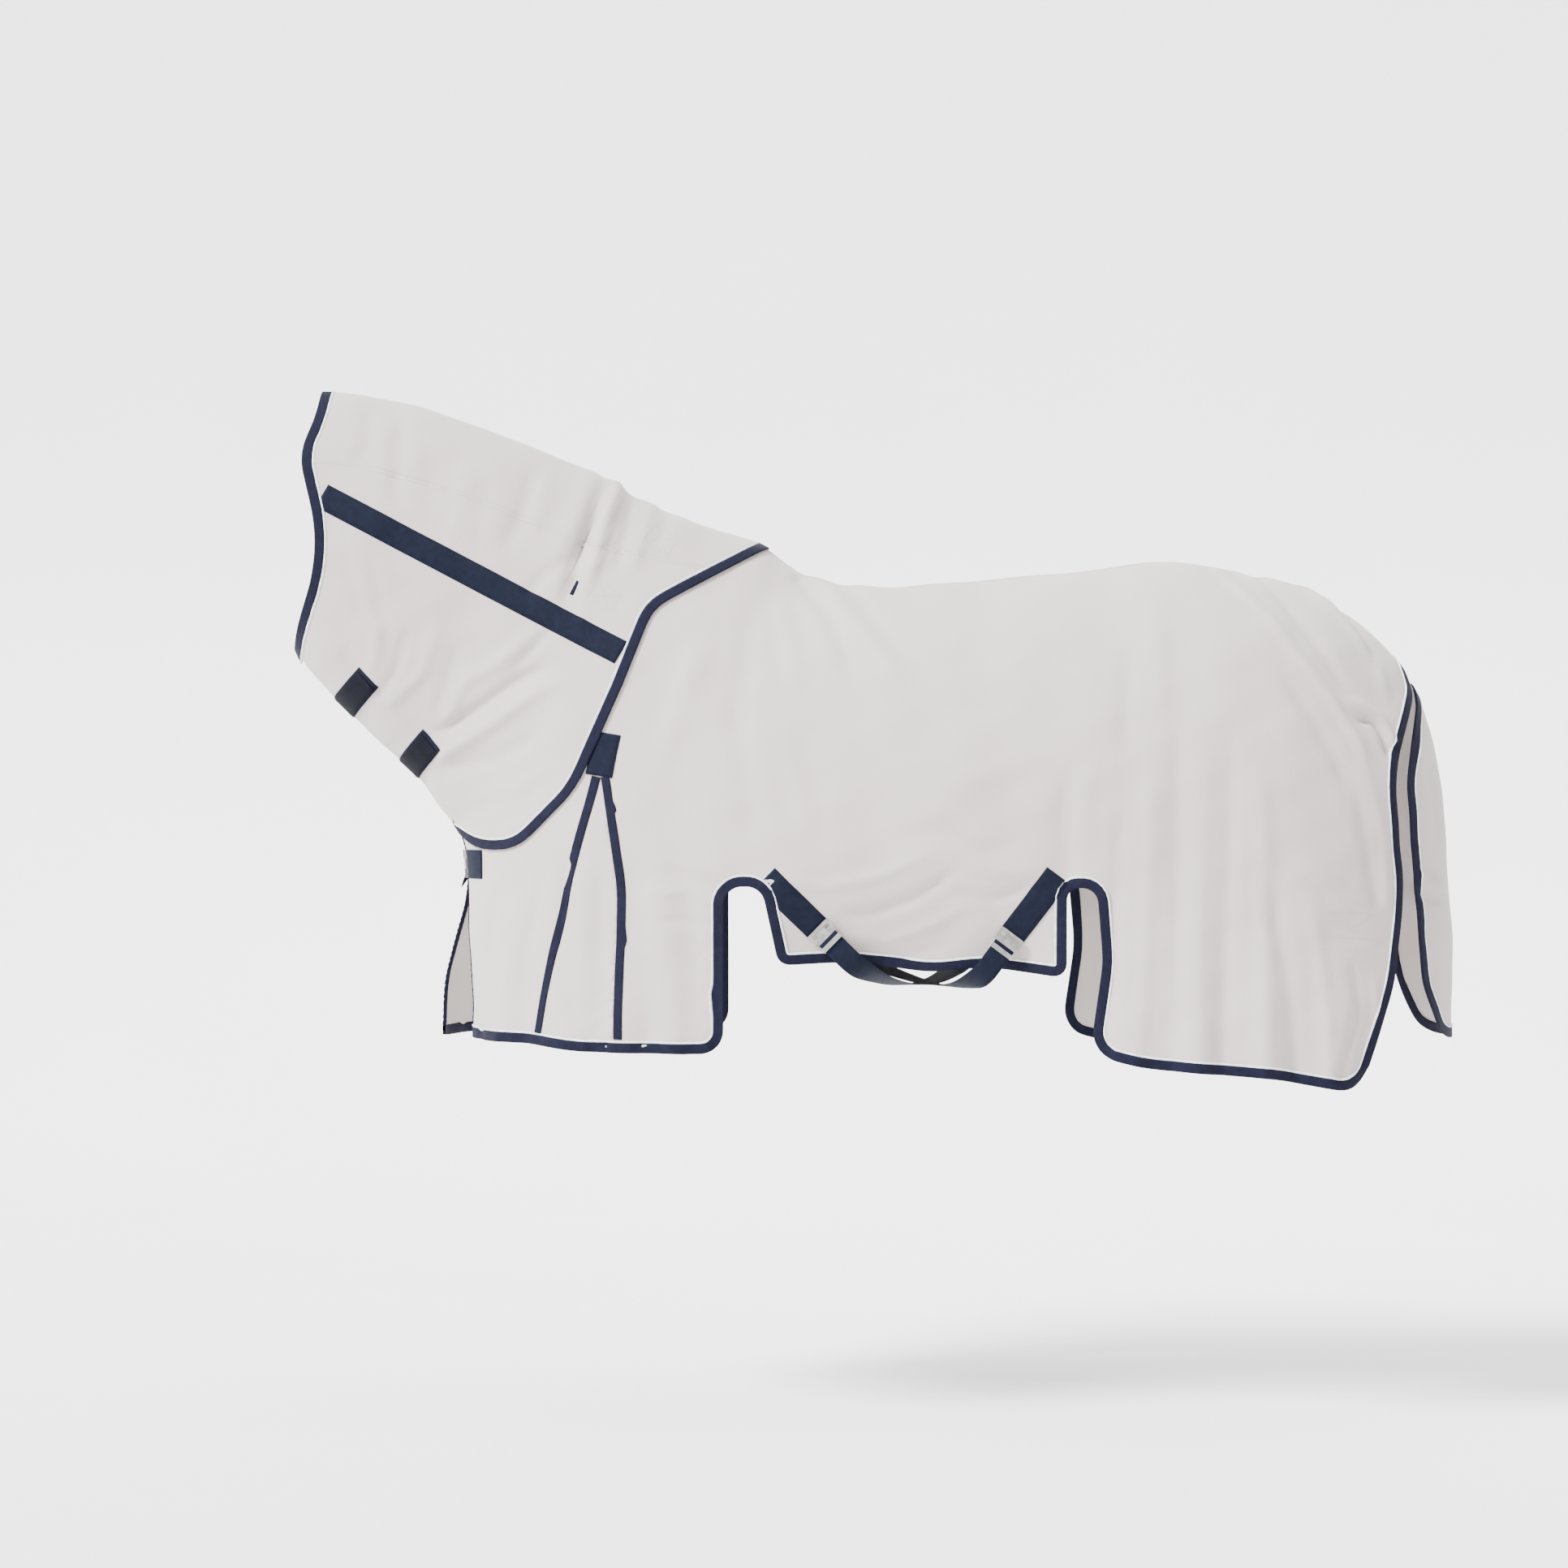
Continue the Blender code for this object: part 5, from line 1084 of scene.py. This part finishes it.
class Workshop:
    """The surface, the materials and the outlines that every piece is made with."""
    current = None

    def __init__(self, settings):
        self.step = settings.cell * 1.0
        self.surface = Surface(15)
        self.cloth = cloth_paint("mesh_cloth", tuple(settings.cloth), settings.thread_pitch)
        self.lining = cloth_paint("lining_cloth", tuple(settings.lining),
                                  settings.thread_pitch / 2)
        ribs = settings.rib_pitch
        self.binding = webbing_paint("navy_binding", tuple(settings.binding), ribs, 0.80, 0.02)
        self.band = webbing_paint("navy_webbing", tuple(settings.band), ribs, 0.80, 0.02)
        self.strap = webbing_paint("black_strap", tuple(settings.strap), ribs, 0.80, 0.01)
        self.piping = webbing_paint("pale_piping", tuple(settings.piping), ribs, 0.80, 0.10)
        self.thread = webbing_paint("thread", tuple(settings.thread), ribs, 0.80, 0.10)
        self.steel = steel_paint("dull_nickel", tuple(settings.steel))
        self.lower = rounded(LOWER_EDGE)
        self.tail_edge = rounded(TAIL_FLAP_EDGE)
        self.head = rounded(HEAD_EDGE)
        self.gusset_front = rounded(GUSSET_FRONT)
        self.gusset_rear = rounded(GUSSET_REAR)
        self.crest = rounded(CREST_SEAM)

    def two_sided(self, outline, side_spacing=0.008):
        """A path up one side of the sheet, over the topline and down the other side."""
        left = self.surface.path(outline, -1, side_spacing)
        if abs(left[0, 1]) < abs(left[-1, 1]):
            left = left[::-1]
        right = left[:-1][::-1] * (1.0, -1.0)
        return np.vstack([left, right])

    def straight(self, start, end, side, spacing=0.006):
        line = np.array([start, end])
        return self.surface.path(line, side, spacing)

    def tab(self, name, start, end, width, side, lifts, layer, material=None):
        """A flat piece of webbing along a straight side view line."""
        spots = self.straight(start, end, side)
        profile = tape_profile(-width / 2, width / 2, lifts)
        return strip(name, self.surface, spots, profile, layer, material or self.band)

    def box_and_cross(self, start, end, width, side, margin=0.004):
        """Stitches round the edge of a straight tab, with a cross between its corners."""
        start, end = np.array(start), np.array(end)
        along = (end - start) / np.linalg.norm(end - start)
        aside = np.array([-along[1], along[0]]) * (width / 2 - margin)
        first, last = start + along * margin, end - along * margin
        corners = [first + aside, first - aside, last - aside, last + aside]
        lines = list(zip(corners, corners[1:] + corners[:1]))
        lines += [(corners[0], corners[2]), (corners[1], corners[3])]
        runs = []
        for a, b in lines:
            spots = self.surface.path(np.array([a, b]), side, 0.006)
            runs.append(straight_run(self.surface, spots, 0.0, 1.0))
        return runs


def workshop():
    if Workshop.current is None:
        Workshop.current = Workshop(bpy.context.scene.fly_sheet)
    return Workshop.current


def finish_piece(thing, body, slot, *nodes):
    """Fixes a piece to its body and its material slot, and hides what it stands for."""
    if nodes:
        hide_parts(*nodes)
    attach(thing, body)
    return thing


def word(side):
    return "left" if side < 0 else "right"


# ---------------------------------------------------------------- pieces
def make_body_cloth():
    shop = workshop()
    surface = shop.surface
    over_back = np.array([(1.10, 0.10), (0.30, 0.10)])
    outlines = {
        "body": np.vstack([offset(shop.lower, EDGE_INSET), over_back,
                           offset(NECKLINE_PATH, EDGE_INSET)]),
        "gusset": np.vstack([shop.gusset_front, shop.gusset_rear[::-1]]),
    }
    outlines = {name: region(surface, shop.step, line) for name, line in outlines.items()}
    places, triangles, inside = cut_sheet(surface, shop.step, outlines, EDGE_INSET)
    panel = [t for t, names in zip(triangles, inside) if names == {"body"}]
    gusset = [t for t, names in zip(triangles, inside) if names == {"body", "gusset"}]
    for side in (-1, 1):
        half = word(side)
        cloth = shell(f"cloth_panel_{half}", surface, places, panel, [side], "body",
                      BODY_LAYER, shop.cloth)
        finish_piece(cloth, "sheet", "mesh_cloth", f"side_panel_{half}")
        wedge = shell(f"cloth_gusset_{half}", surface, places, gusset, [side], "body",
                      BODY_LAYER, shop.cloth)
        finish_piece(wedge, "sheet", "mesh_cloth", f"gusset_{half}")


def make_spine():
    shop = workshop()
    surface = shop.surface
    columns = np.arange(surface.count)
    x = surface.tops[:, 0]
    for name, span, lifts, width, paint, slot, node in (
            ("spine_seam", (-0.120, 1.176), (0.0016, 0.0030), SPINE_SEAM, shop.cloth,
             "mesh_cloth", None),
            ("spine_tape_inside", (-0.100, 1.120), UNDER_LAYER, SPINE_TAPE, shop.lining,
             "lining_cloth", "spine_tape"),
            ("dock_patch_inside", (1.165, 1.226), UNDER_LAYER, 0.090, shop.lining,
             "lining_cloth", "dock_patch")):
        kept = columns[(x > span[0]) & (x < span[1])
                       & (np.append(np.diff(x), 1.0) > 0.0)]
        spots = np.column_stack([kept, np.zeros(len(kept))])
        thing = strip(name, surface, spots, tape_profile(-width / 2, width / 2, lifts),
                      "body", paint)
        finish_piece(thing, "sheet", slot, *([node] if node else []))
        if name == "spine_seam":
            runs = [straight_run(surface, spots, shift, 1.0) for shift in (-0.005, 0.005)]
            finish_piece(stitches("spine_stitches", surface, runs, "body", lifts[1],
                                  shop.thread), "sheet", "mesh_cloth")


def make_neck_cloth():
    shop = workshop()
    surface = shop.surface
    head = offset(shop.head, EDGE_INSET)
    rear = offset(NECK_REAR_PATH, -EDGE_INSET)
    above = np.array([(0.060, 0.300), (-1.000, 0.420)])
    outlines = {
        "cover": np.vstack([head, rear[::-1]]),
        "crest": np.vstack([shop.crest, above]),
    }
    outlines = {name: region(surface, shop.step, line) for name, line in outlines.items()}
    places, triangles, inside = cut_sheet(surface, shop.step, outlines, THROAT_EDGE)
    crest = [t for t, names in zip(triangles, inside) if names == {"cover", "crest"}]
    sides = [t for t, names in zip(triangles, inside) if names == {"cover"}]
    top = shell("cloth_crest", surface, places, crest, [-1, 1], "neck", NECK_LAYER,
                shop.cloth)
    finish_piece(top, "neck_cover", "mesh_cloth", "neck_crest_panel")
    for side in (-1, 1):
        half = word(side)
        cloth = shell(f"cloth_neck_{half}", surface, places, sides, [side], "neck",
                      NECK_LAYER, shop.cloth)
        finish_piece(cloth, "neck_cover", "mesh_cloth", f"neck_side_{half}")
        seam = surface.path(shop.crest, side)
        within = inside_cover(surface, seam, head, rear)
        thing = strip(f"crest_seam_{half}", surface, seam[within],
                      tape_profile(-0.004, 0.004, (0.0052, 0.0066)), "neck", shop.cloth)
        finish_piece(thing, "neck_cover", "mesh_cloth")
        runs = [straight_run(surface, seam[within], 0.0022, 1.0)]
        finish_piece(stitches(f"crest_stitches_{half}", surface, runs, "neck", 0.0066,
                              shop.thread), "neck_cover", "mesh_cloth")
        throat = throat_line(surface, head, rear) * (1.0, side)
        profile = tape_profile(0.0, 0.012, (0.0042, 0.0064))
        thing = strip(f"throat_facing_{half}", surface, throat, profile, "neck", shop.cloth,
                      -side)
        finish_piece(thing, "neck_cover", "mesh_cloth")


def inside_cover(surface, spots, head, rear):
    """Which places of a path lie between the neck cover's two ends."""
    flat = surface.side_view(*spots.T)
    _, _, past_head = nearest_on(flat, head)
    _, _, past_rear = nearest_on(flat, rear)
    return (past_head > 0) & (past_rear < 0)


def throat_line(surface, head, rear):
    """Sheet coordinates down one throat edge of the neck cover, from the head."""
    columns = np.arange(0, THROAT_STATIONS * (surface.count - 1) // (len(STATIONS) - 1) + 1,
                        0.5)
    spots = np.column_stack([columns, surface.end(columns) - THROAT_EDGE])
    return spots[inside_cover(surface, spots, head, rear)]


def make_tail_flap():
    shop = workshop()
    surface = shop.surface
    edge = surface.path(offset(shop.tail_edge, EDGE_INSET), 1)
    above = [(edge[-1, 0], -0.05), (edge[0, 0], -0.05)]
    outlines = {"flap": np.vstack([edge, above])}
    places, triangles, _ = cut_sheet(surface, shop.step, outlines)
    flap = shell("cloth_tail_flap", surface, places, triangles, [-1, 1], "tail",
                 BODY_LAYER, shop.cloth)
    finish_piece(flap, "tail_flap", "mesh_cloth", "tail_flap")
    left = surface.path(shop.tail_edge, -1)
    right = left[::-1] * (1.0, -1.0)
    loop = np.vstack([left, right[1:]])
    bind("tail_flap", loop, "tail", BODY_BINDING, 1.0, "tail_flap", ["tail_flap_binding"])


def bind(name, spots, layer, lifts, hand, body, nodes, piped=True):
    """A folded tape round an edge, with piping and a zigzag seam on its inner side."""
    shop = workshop()
    surface = shop.surface
    tape = strip(f"{name}_tape", surface, spots, tape_profile(-0.0006, BINDING, lifts),
                 layer, shop.binding, hand)
    finish_piece(tape, body, "navy_binding", *nodes)
    if not piped:
        return
    cord = strip(f"{name}_piping", surface, spots,
                 piping_profile(BINDING - 0.0004, (lifts[1] - 0.0016, lifts[1] + 0.0006)),
                 layer, shop.piping, hand)
    finish_piece(cord, body, "navy_binding")
    runs = [zigzag_run(surface, spots, BINDING + PIPING / 2, hand)]
    seam = stitches(f"{name}_zigzag", surface, runs, layer, lifts[1] + 0.0005, shop.piping)
    finish_piece(seam, body, "navy_binding")


def make_bindings():
    shop = workshop()
    surface = shop.surface
    for side in (-1, 1):
        half = word(side)
        bind(f"hem_{half}", surface.path(shop.lower, side), "body", BODY_BINDING, -side,
             "sheet", [f"hem_binding_{half}"])
        bind(f"neckline_{half}", surface.path(NECKLINE_PATH, side), "body", BODY_BINDING,
             -side, "sheet", [f"neckline_binding_{half}"], piped=False)
        for place, path, hand in (("front", shop.gusset_front, side),
                                  ("rear", shop.gusset_rear, -side)):
            spots = surface.path(path, side)
            flat = surface.side_view(*spots.T)
            past_hem = nearest_on(flat, shop.lower)
            spots = spots[(past_hem[2] > 0) & (past_hem[0] > BINDING)]
            tape = strip(f"gusset_{place}_tape_{half}", surface, spots,
                         tape_profile(-0.002, BINDING - 0.003, (0.0010, 0.0036)), "body",
                         shop.binding, hand)
            finish_piece(tape, "sheet", "navy_binding", f"gusset_{place}_binding_{half}")
        last = THROAT_STATIONS * (surface.count - 1) // (len(STATIONS) - 1)
        columns = np.arange(0.0, last, 0.25)
        feet = np.interp(columns, np.arange(surface.count), surface.feet[:, 1])
        columns = columns[(feet < -0.50) & (feet > -0.884)]
        spots = np.column_stack([columns, side * (surface.end(columns) - EDGE_INSET)])
        tape = strip(f"front_edge_tape_{half}", surface, spots,
                     tape_profile(-0.0006, BINDING, BODY_BINDING), "body", shop.binding,
                     -side)
        finish_piece(tape, "sheet", "navy_binding", f"front_edge_binding_{half}")
    bind("head_opening", shop.two_sided(shop.head), "neck", NECK_BINDING, -1.0,
         "neck_cover", ["head_opening_binding"])
    bind("neck_rear", shop.two_sided(NECK_REAR_PATH), "neck", NECK_BINDING, 1.0,
         "neck_cover", ["neck_rear_binding"])


def make_neck_trim():
    shop = workshop()
    surface = shop.surface
    head = offset(shop.head, BINDING + PIPING)
    rear = offset(NECK_REAR_PATH, -BINDING - PIPING)
    for side in (-1, 1):
        half = word(side)
        spots = surface.path(np.array(NECK_BAND_LINE), side, 0.006)
        spots = spots[inside_cover(surface, spots, head, rear)]
        band = strip(f"neck_band_webbing_{half}", surface, spots,
                     tape_profile(-NECK_BAND / 2, NECK_BAND / 2, (0.0056, 0.0072)), "neck",
                     shop.band)
        finish_piece(band, "neck_cover", "navy_webbing", f"neck_band_{half}")
        runs = [straight_run(surface, spots, shift, 1.0, 0.003)
                for shift in (-NECK_BAND / 2 + 0.003, NECK_BAND / 2 - 0.003)]
        seam = stitches(f"neck_band_stitches_{half}", surface, runs, "neck", 0.0072,
                        shop.band)
        finish_piece(seam, "neck_cover", "navy_webbing")
        link = shop.tab(f"neck_link_webbing_{half}", *NECK_LINK, LINK_WIDTH, side,
                        TAB_LAYER, "plain")
        finish_piece(link, "neck_cover", "navy_webbing", f"neck_link_tab_{half}")
        runs = []
        for start, end in NECK_PATCHES:
            runs += shop.box_and_cross(start, end, PATCH_WIDTH, side)
        patch = stitches(f"neck_patch_stitches_{half}", surface, runs, "neck",
                         NECK_LAYER[1] + 0.0002, shop.thread)
        finish_piece(patch, "neck_cover", "mesh_cloth")


def make_throat():
    shop = workshop()
    surface = shop.surface
    for place, (start, end) in THROAT_STRAPS.items():
        for side, nodes in ((-1, f"throat_strap_{place}"), (1, f"throat_tab_{place}")):
            first = start if side < 0 else tuple(np.array(start) * 0.55 + np.array(end) * 0.45)
            spots = shop.straight(first, end, side, 0.004)
            spots = spots[np.abs(spots[:, 1]) < surface.end(spots[:, 0]) - PEEL_EDGE]
            pieces = []
            for low, high, inset in ((0.0064, 0.0080, 0.0), (0.0082, 0.0096, 0.003)):
                half = THROAT_STRAP / 2 - inset
                keep = spots if inset == 0.0 else spots[2:]
                pieces.append(strip(f"throat_layer_{place}_{word(side)}", surface, keep,
                                    tape_profile(-half, half, (low, high)), "neck",
                                    shop.band if inset == 0.0 else shop.strap))
            thing = join(f"throat_webbing_{place}_{word(side)}", pieces)
            body = nodes if side < 0 else "neck_cover"
            finish_piece(thing, body, "navy_webbing", nodes)


def chest_spots(surface, y_near, y_far, side):
    """A level path round the breast at the height of the chest closure."""
    level = (CHEST_CLOSURE[0] + CHEST_CLOSURE[1]) / 2
    x = np.linspace(-0.62, -0.40, 400)
    line = np.column_stack([x, np.full(len(x), level)])
    width = np.sqrt(np.maximum(surface.form.value(line), 0.0))
    wanted = np.linspace(y_near, y_far, 14)
    points = np.column_stack([np.interp(wanted, width, x), np.full(len(wanted), level)])
    return surface.coordinates(points) * (1.0, side)


def make_tabs():
    shop = workshop()
    surface = shop.surface
    width = CHEST_CLOSURE[1] - CHEST_CLOSURE[0]
    for side in (-1, 1):
        half = word(side)
        start = CHEST_TAB[0] if side < 0 else CHEST_HOOK_END
        spots = chest_spots(surface, start, CHEST_TAB[1], side)
        tab = strip(f"chest_webbing_{half}", surface, spots,
                    tape_profile(-width / 2, width / 2, TAB_LAYER), "plain", shop.band)
        finish_piece(tab, "sheet", "navy_webbing", f"chest_tab_{half}")
        for place, (first, last) in SURCINGLE_TABS.items():
            tab = shop.tab(f"belly_tab_{place}_{half}", first, last, TAB_WIDTH, side,
                           TAB_LAYER, "body")
            finish_piece(tab, "sheet", "navy_webbing", f"surcingle_tab_{place}_{half}")
            runs = shop.box_and_cross(first, last, TAB_WIDTH, side)
            seam = stitches(f"belly_tab_stitches_{place}_{half}", surface, runs, "body",
                            TAB_LAYER[1], shop.band)
            finish_piece(seam, "sheet", "navy_webbing")
        tab = shop.tab(f"leg_webbing_{half}", *LEG_LINK, LEG_TAB, side, UNDER_LAYER, "plain")
        finish_piece(tab, "sheet", "navy_webbing", f"leg_tab_{half}")
        runs = shop.box_and_cross(*REAR_PATCH, PATCH_WIDTH, side)
        for line in REAR_SEAMS:
            spots = surface.path(np.array(line), side, 0.006)
            runs.append(straight_run(surface, spots, 0.0, 1.0))
        seam = stitches(f"rear_patch_stitches_{half}", surface, runs, "body",
                        BODY_LAYER[1] + 0.0002, shop.thread)
        finish_piece(seam, "sheet", "mesh_cloth")
        start = np.mean([GUSSET_TAB[2], GUSSET_TAB[3]], axis=0)
        end = np.array(GUSSET_TAB[0]) + GUSSET_TAB_TIP
        tab = shop.tab(f"gusset_webbing_{half}", start, end, GUSSET_TAB_WIDTH, side, TAB_LAYER,
                       "body")
        finish_piece(tab, "sheet", "navy_webbing", f"gusset_tab_{half}")


def node_middle(name):
    low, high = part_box(name)
    return (Vector(low) + Vector(high)) / 2


def joint_axis(name):
    for joint in frame["joints"]:
        if joint["name"] == name:
            return Vector(joint["axis"]).normalized()
    raise RuntimeError(f"no joint {name}")


def belly_end(place, side):
    """Where a belly strap meets its hook or loop, its heading there and the outward way."""
    heading = joint_axis(f"surcingle_slider_{place}_slide")
    aside = joint_axis(f"surcingle_hook_{place}_lift")
    outward = heading.cross(aside)
    if outward.y > 0:
        outward.negate()
    if side < 0:
        return node_middle(f"surcingle_slider_{place}") - heading * SLIDER_ALONG, heading, outward
    mirror = Vector((1, -1, 1))
    heading, outward = heading * mirror, outward * mirror
    middle = node_middle(f"surcingle_loop_{place}")
    return middle + heading * ((LOOP_LENGTH + WIRE) / 2 + 0.0006), heading, outward


def make_belly_straps():
    shop = workshop()
    for place, other, low in (("front", "rear", BELLY[1]), ("rear", "front", BELLY[1] + CROSS)):
        start, first, near = belly_end(place, -1)
        end, last, far = belly_end(other, 1)
        a, d = start + first * STRAIGHT_RUN, end + last * STRAIGHT_RUN
        b, c = a + first * BELLY_PULL, d + last * BELLY_PULL
        points = [start + first * STRAIGHT_RUN * k / 6 for k in range(6)]
        steps = 60
        bottom = (a + b * 3 + c * 3 + d) / 8
        middle = Vector((BELLY[0], 0.0, low))
        for index in range(steps + 1):
            t = index / steps
            s = 1 - t
            place_at = a * s ** 3 + b * 3 * s * s * t + c * 3 * s * t * t + d * t ** 3
            points.append(place_at + (middle - bottom) * (4 * t * s) ** 2)
        points += [end + last * STRAIGHT_RUN * k / 6 for k in range(5, -1, -1)]
        corners, uvs, run = [], [], 0.0
        profile = tape_profile(-SURCINGLE / 2, SURCINGLE / 2, (-0.0008, 0.0008))
        for number, point in enumerate(points):
            ahead = points[min(number + 1, len(points) - 1)]
            behind = points[max(number - 1, 0)]
            along = (ahead - behind).normalized()
            girth = Vector((0, point.y, point.z - GIRTH_AXIS_Z)).normalized()
            share = min(number, len(points) - 1 - number) / (len(points) - 1)
            blend = float(smooth(share, 0.08, 0.33))
            outward = (near if number < len(points) / 2 else far).lerp(girth, blend)
            aside = along.cross(outward).normalized()
            face = aside.cross(along)
            run += (point - behind).length
            for k, (across, lift) in enumerate(profile):
                corners.append(point + aside * across + face * lift)
                uvs.append((across + SURCINGLE / 2, run))
        thing = swept(f"belly_strap_{place}", np.array(corners), len(points), len(profile),
                      shop.band, uvs)
        finish_piece(thing, "sheet", "navy_webbing", f"surcingle_strap_{place}")


def finish_hardware():
    """Gives the metal fittings of the frame their worn nickel."""
    shop = workshop()
    for row in frame["record"]["subparts"]:
        if row["material_slot"] == "nickel_steel":
            node = frame["nodes"][row["node"]]
            node.data.materials.clear()
            node.data.materials.append(shop.steel)
            for polygon in node.data.polygons:
                polygon.material_index = 0


def add_light(name, kind, place, target, power, size):
    data = bpy.data.lights.new(name, kind)
    data.energy = power
    if kind == "AREA":
        data.shape = "DISK"
        data.size = size
    else:
        data.angle = KEY_SOFTNESS
    thing = bpy.data.objects.new(name, data)
    thing.location = place
    thing.rotation_euler = (Vector(target) - Vector(place)).to_track_quat("-Z", "Y").to_euler()
    bpy.context.scene.collection.objects.link(thing)


def make_stage():
    scene = bpy.context.scene
    floor_z, back, reach, bend = -1.615, 6.0, 14.0, 2.5
    line = [(-reach, floor_z), (back - bend, floor_z)]
    for index in range(1, 17):
        angle = math.pi / 2 * index / 16
        line.append((back - bend + bend * math.sin(angle),
                     floor_z + bend - bend * math.cos(angle)))
    line.append((back, floor_z + 8.0))
    corners = [(x, y, z) for y, z in line for x in (-reach, reach)]
    faces = [(2 * k, 2 * k + 1, 2 * k + 3, 2 * k + 2) for k in range(len(line) - 1)]
    paint = Paint("pale_floor", (0.90, 0.90, 0.90), 0.9)
    tone = paint.noise(paint.place(False), 0.8, 2.0)
    paint.use("Base Color", paint.colours(tone, (0.89, 0.89, 0.89), (0.91, 0.91, 0.91)))
    floor = new_object("floor", corners, faces, paint.material)
    world = bpy.data.worlds.new("studio")
    world.use_nodes = True
    sky = world.node_tree.nodes["Background"]
    sky.inputs["Color"].default_value = (1.0, 1.0, 1.0, 1.0)
    sky.inputs["Strength"].default_value = SKY_POWER
    scene.world = world
    middle = (0.15, 0.0, -0.35)
    add_light("key", "SUN", (-4.5, -3.2, 4.6), middle, KEY_POWER, 0.0)
    add_light("top", "AREA", (0.2, -0.4, 4.4), middle, 160.0, 3.0)
    add_light("back", "AREA", (1.2, 3.6, 2.4), middle, 90.0, 3.0)
    camera = bpy.data.cameras.new("camera")
    camera.lens = 83.6
    camera.sensor_width = 36.0
    camera.clip_end = 100.0
    eye = bpy.data.objects.new("camera", camera)
    eye.location = (0.0, -7.0, -0.41)
    eye.rotation_euler = (math.pi / 2, 0.0, 0.0)
    scene.collection.objects.link(eye)
    scene.camera = eye


# ---------------------------------------------------------------- the add-on
def operator(name, label, work, text):
    """An operator class that runs one step of the build."""

    def execute(self, context):
        work()
        return {"FINISHED"}

    return type(f"FLYSHEET_OT_{name}", (bpy.types.Operator,), {
        "__doc__": text, "bl_idname": f"flysheet.{name}", "bl_label": label,
        "bl_options": {"REGISTER", "UNDO"}, "execute": execute})


OPERATORS = [
    operator("spine", "Spine Seam", make_spine, "Builds the spine seam and its tapes"),
    operator("body_cloth", "Body Cloth", make_body_cloth, "Builds the side panels and gussets"),
    operator("neck_cloth", "Neck Cloth", make_neck_cloth, "Builds the neck cover's cloth"),
    operator("tail_flap", "Tail Flap", make_tail_flap, "Builds the tail flap"),
    operator("bindings", "Bindings", make_bindings, "Builds the bindings and piping"),
    operator("neck_trim", "Neck Trim", make_neck_trim, "Builds the neck bands and patches"),
    operator("throat", "Throat Straps", make_throat, "Builds the throat straps"),
    operator("tabs", "Tabs", make_tabs, "Builds the webbing tabs and their stitching"),
    operator("belly_straps", "Belly Straps", make_belly_straps, "Builds the belly straps"),
    operator("hardware", "Hardware", finish_hardware, "Gives the fittings their metal"),
    operator("stage", "Stage", make_stage, "Adds the floor, the lights and the camera"),
]


class FLYSHEET_PT_panel(bpy.types.Panel):
    """Sidebar panel with the sheet's settings and its build steps in order."""
    bl_label = "Fly Sheet"
    bl_idname = "FLYSHEET_PT_panel"
    bl_space_type = "VIEW_3D"
    bl_region_type = "UI"
    bl_category = "Fly Sheet"

    def draw(self, context):
        settings = context.scene.fly_sheet
        for name in FlySheetSettings.__annotations__:
            self.layout.prop(settings, name)
        for step in OPERATORS:
            self.layout.operator(step.bl_idname)


CLASSES = [FlySheetSettings, *OPERATORS, FLYSHEET_PT_panel]


def register():
    for item in CLASSES:
        bpy.utils.register_class(item)
    bpy.types.Scene.fly_sheet = bpy.props.PointerProperty(type=FlySheetSettings)


def unregister():
    del bpy.types.Scene.fly_sheet
    for item in reversed(CLASSES):
        bpy.utils.unregister_class(item)


def main():
    register()
    for step in OPERATORS:
        group, name = step.bl_idname.split(".")
        getattr(getattr(bpy.ops, group), name)()


if __name__ == "__main__":
    main()
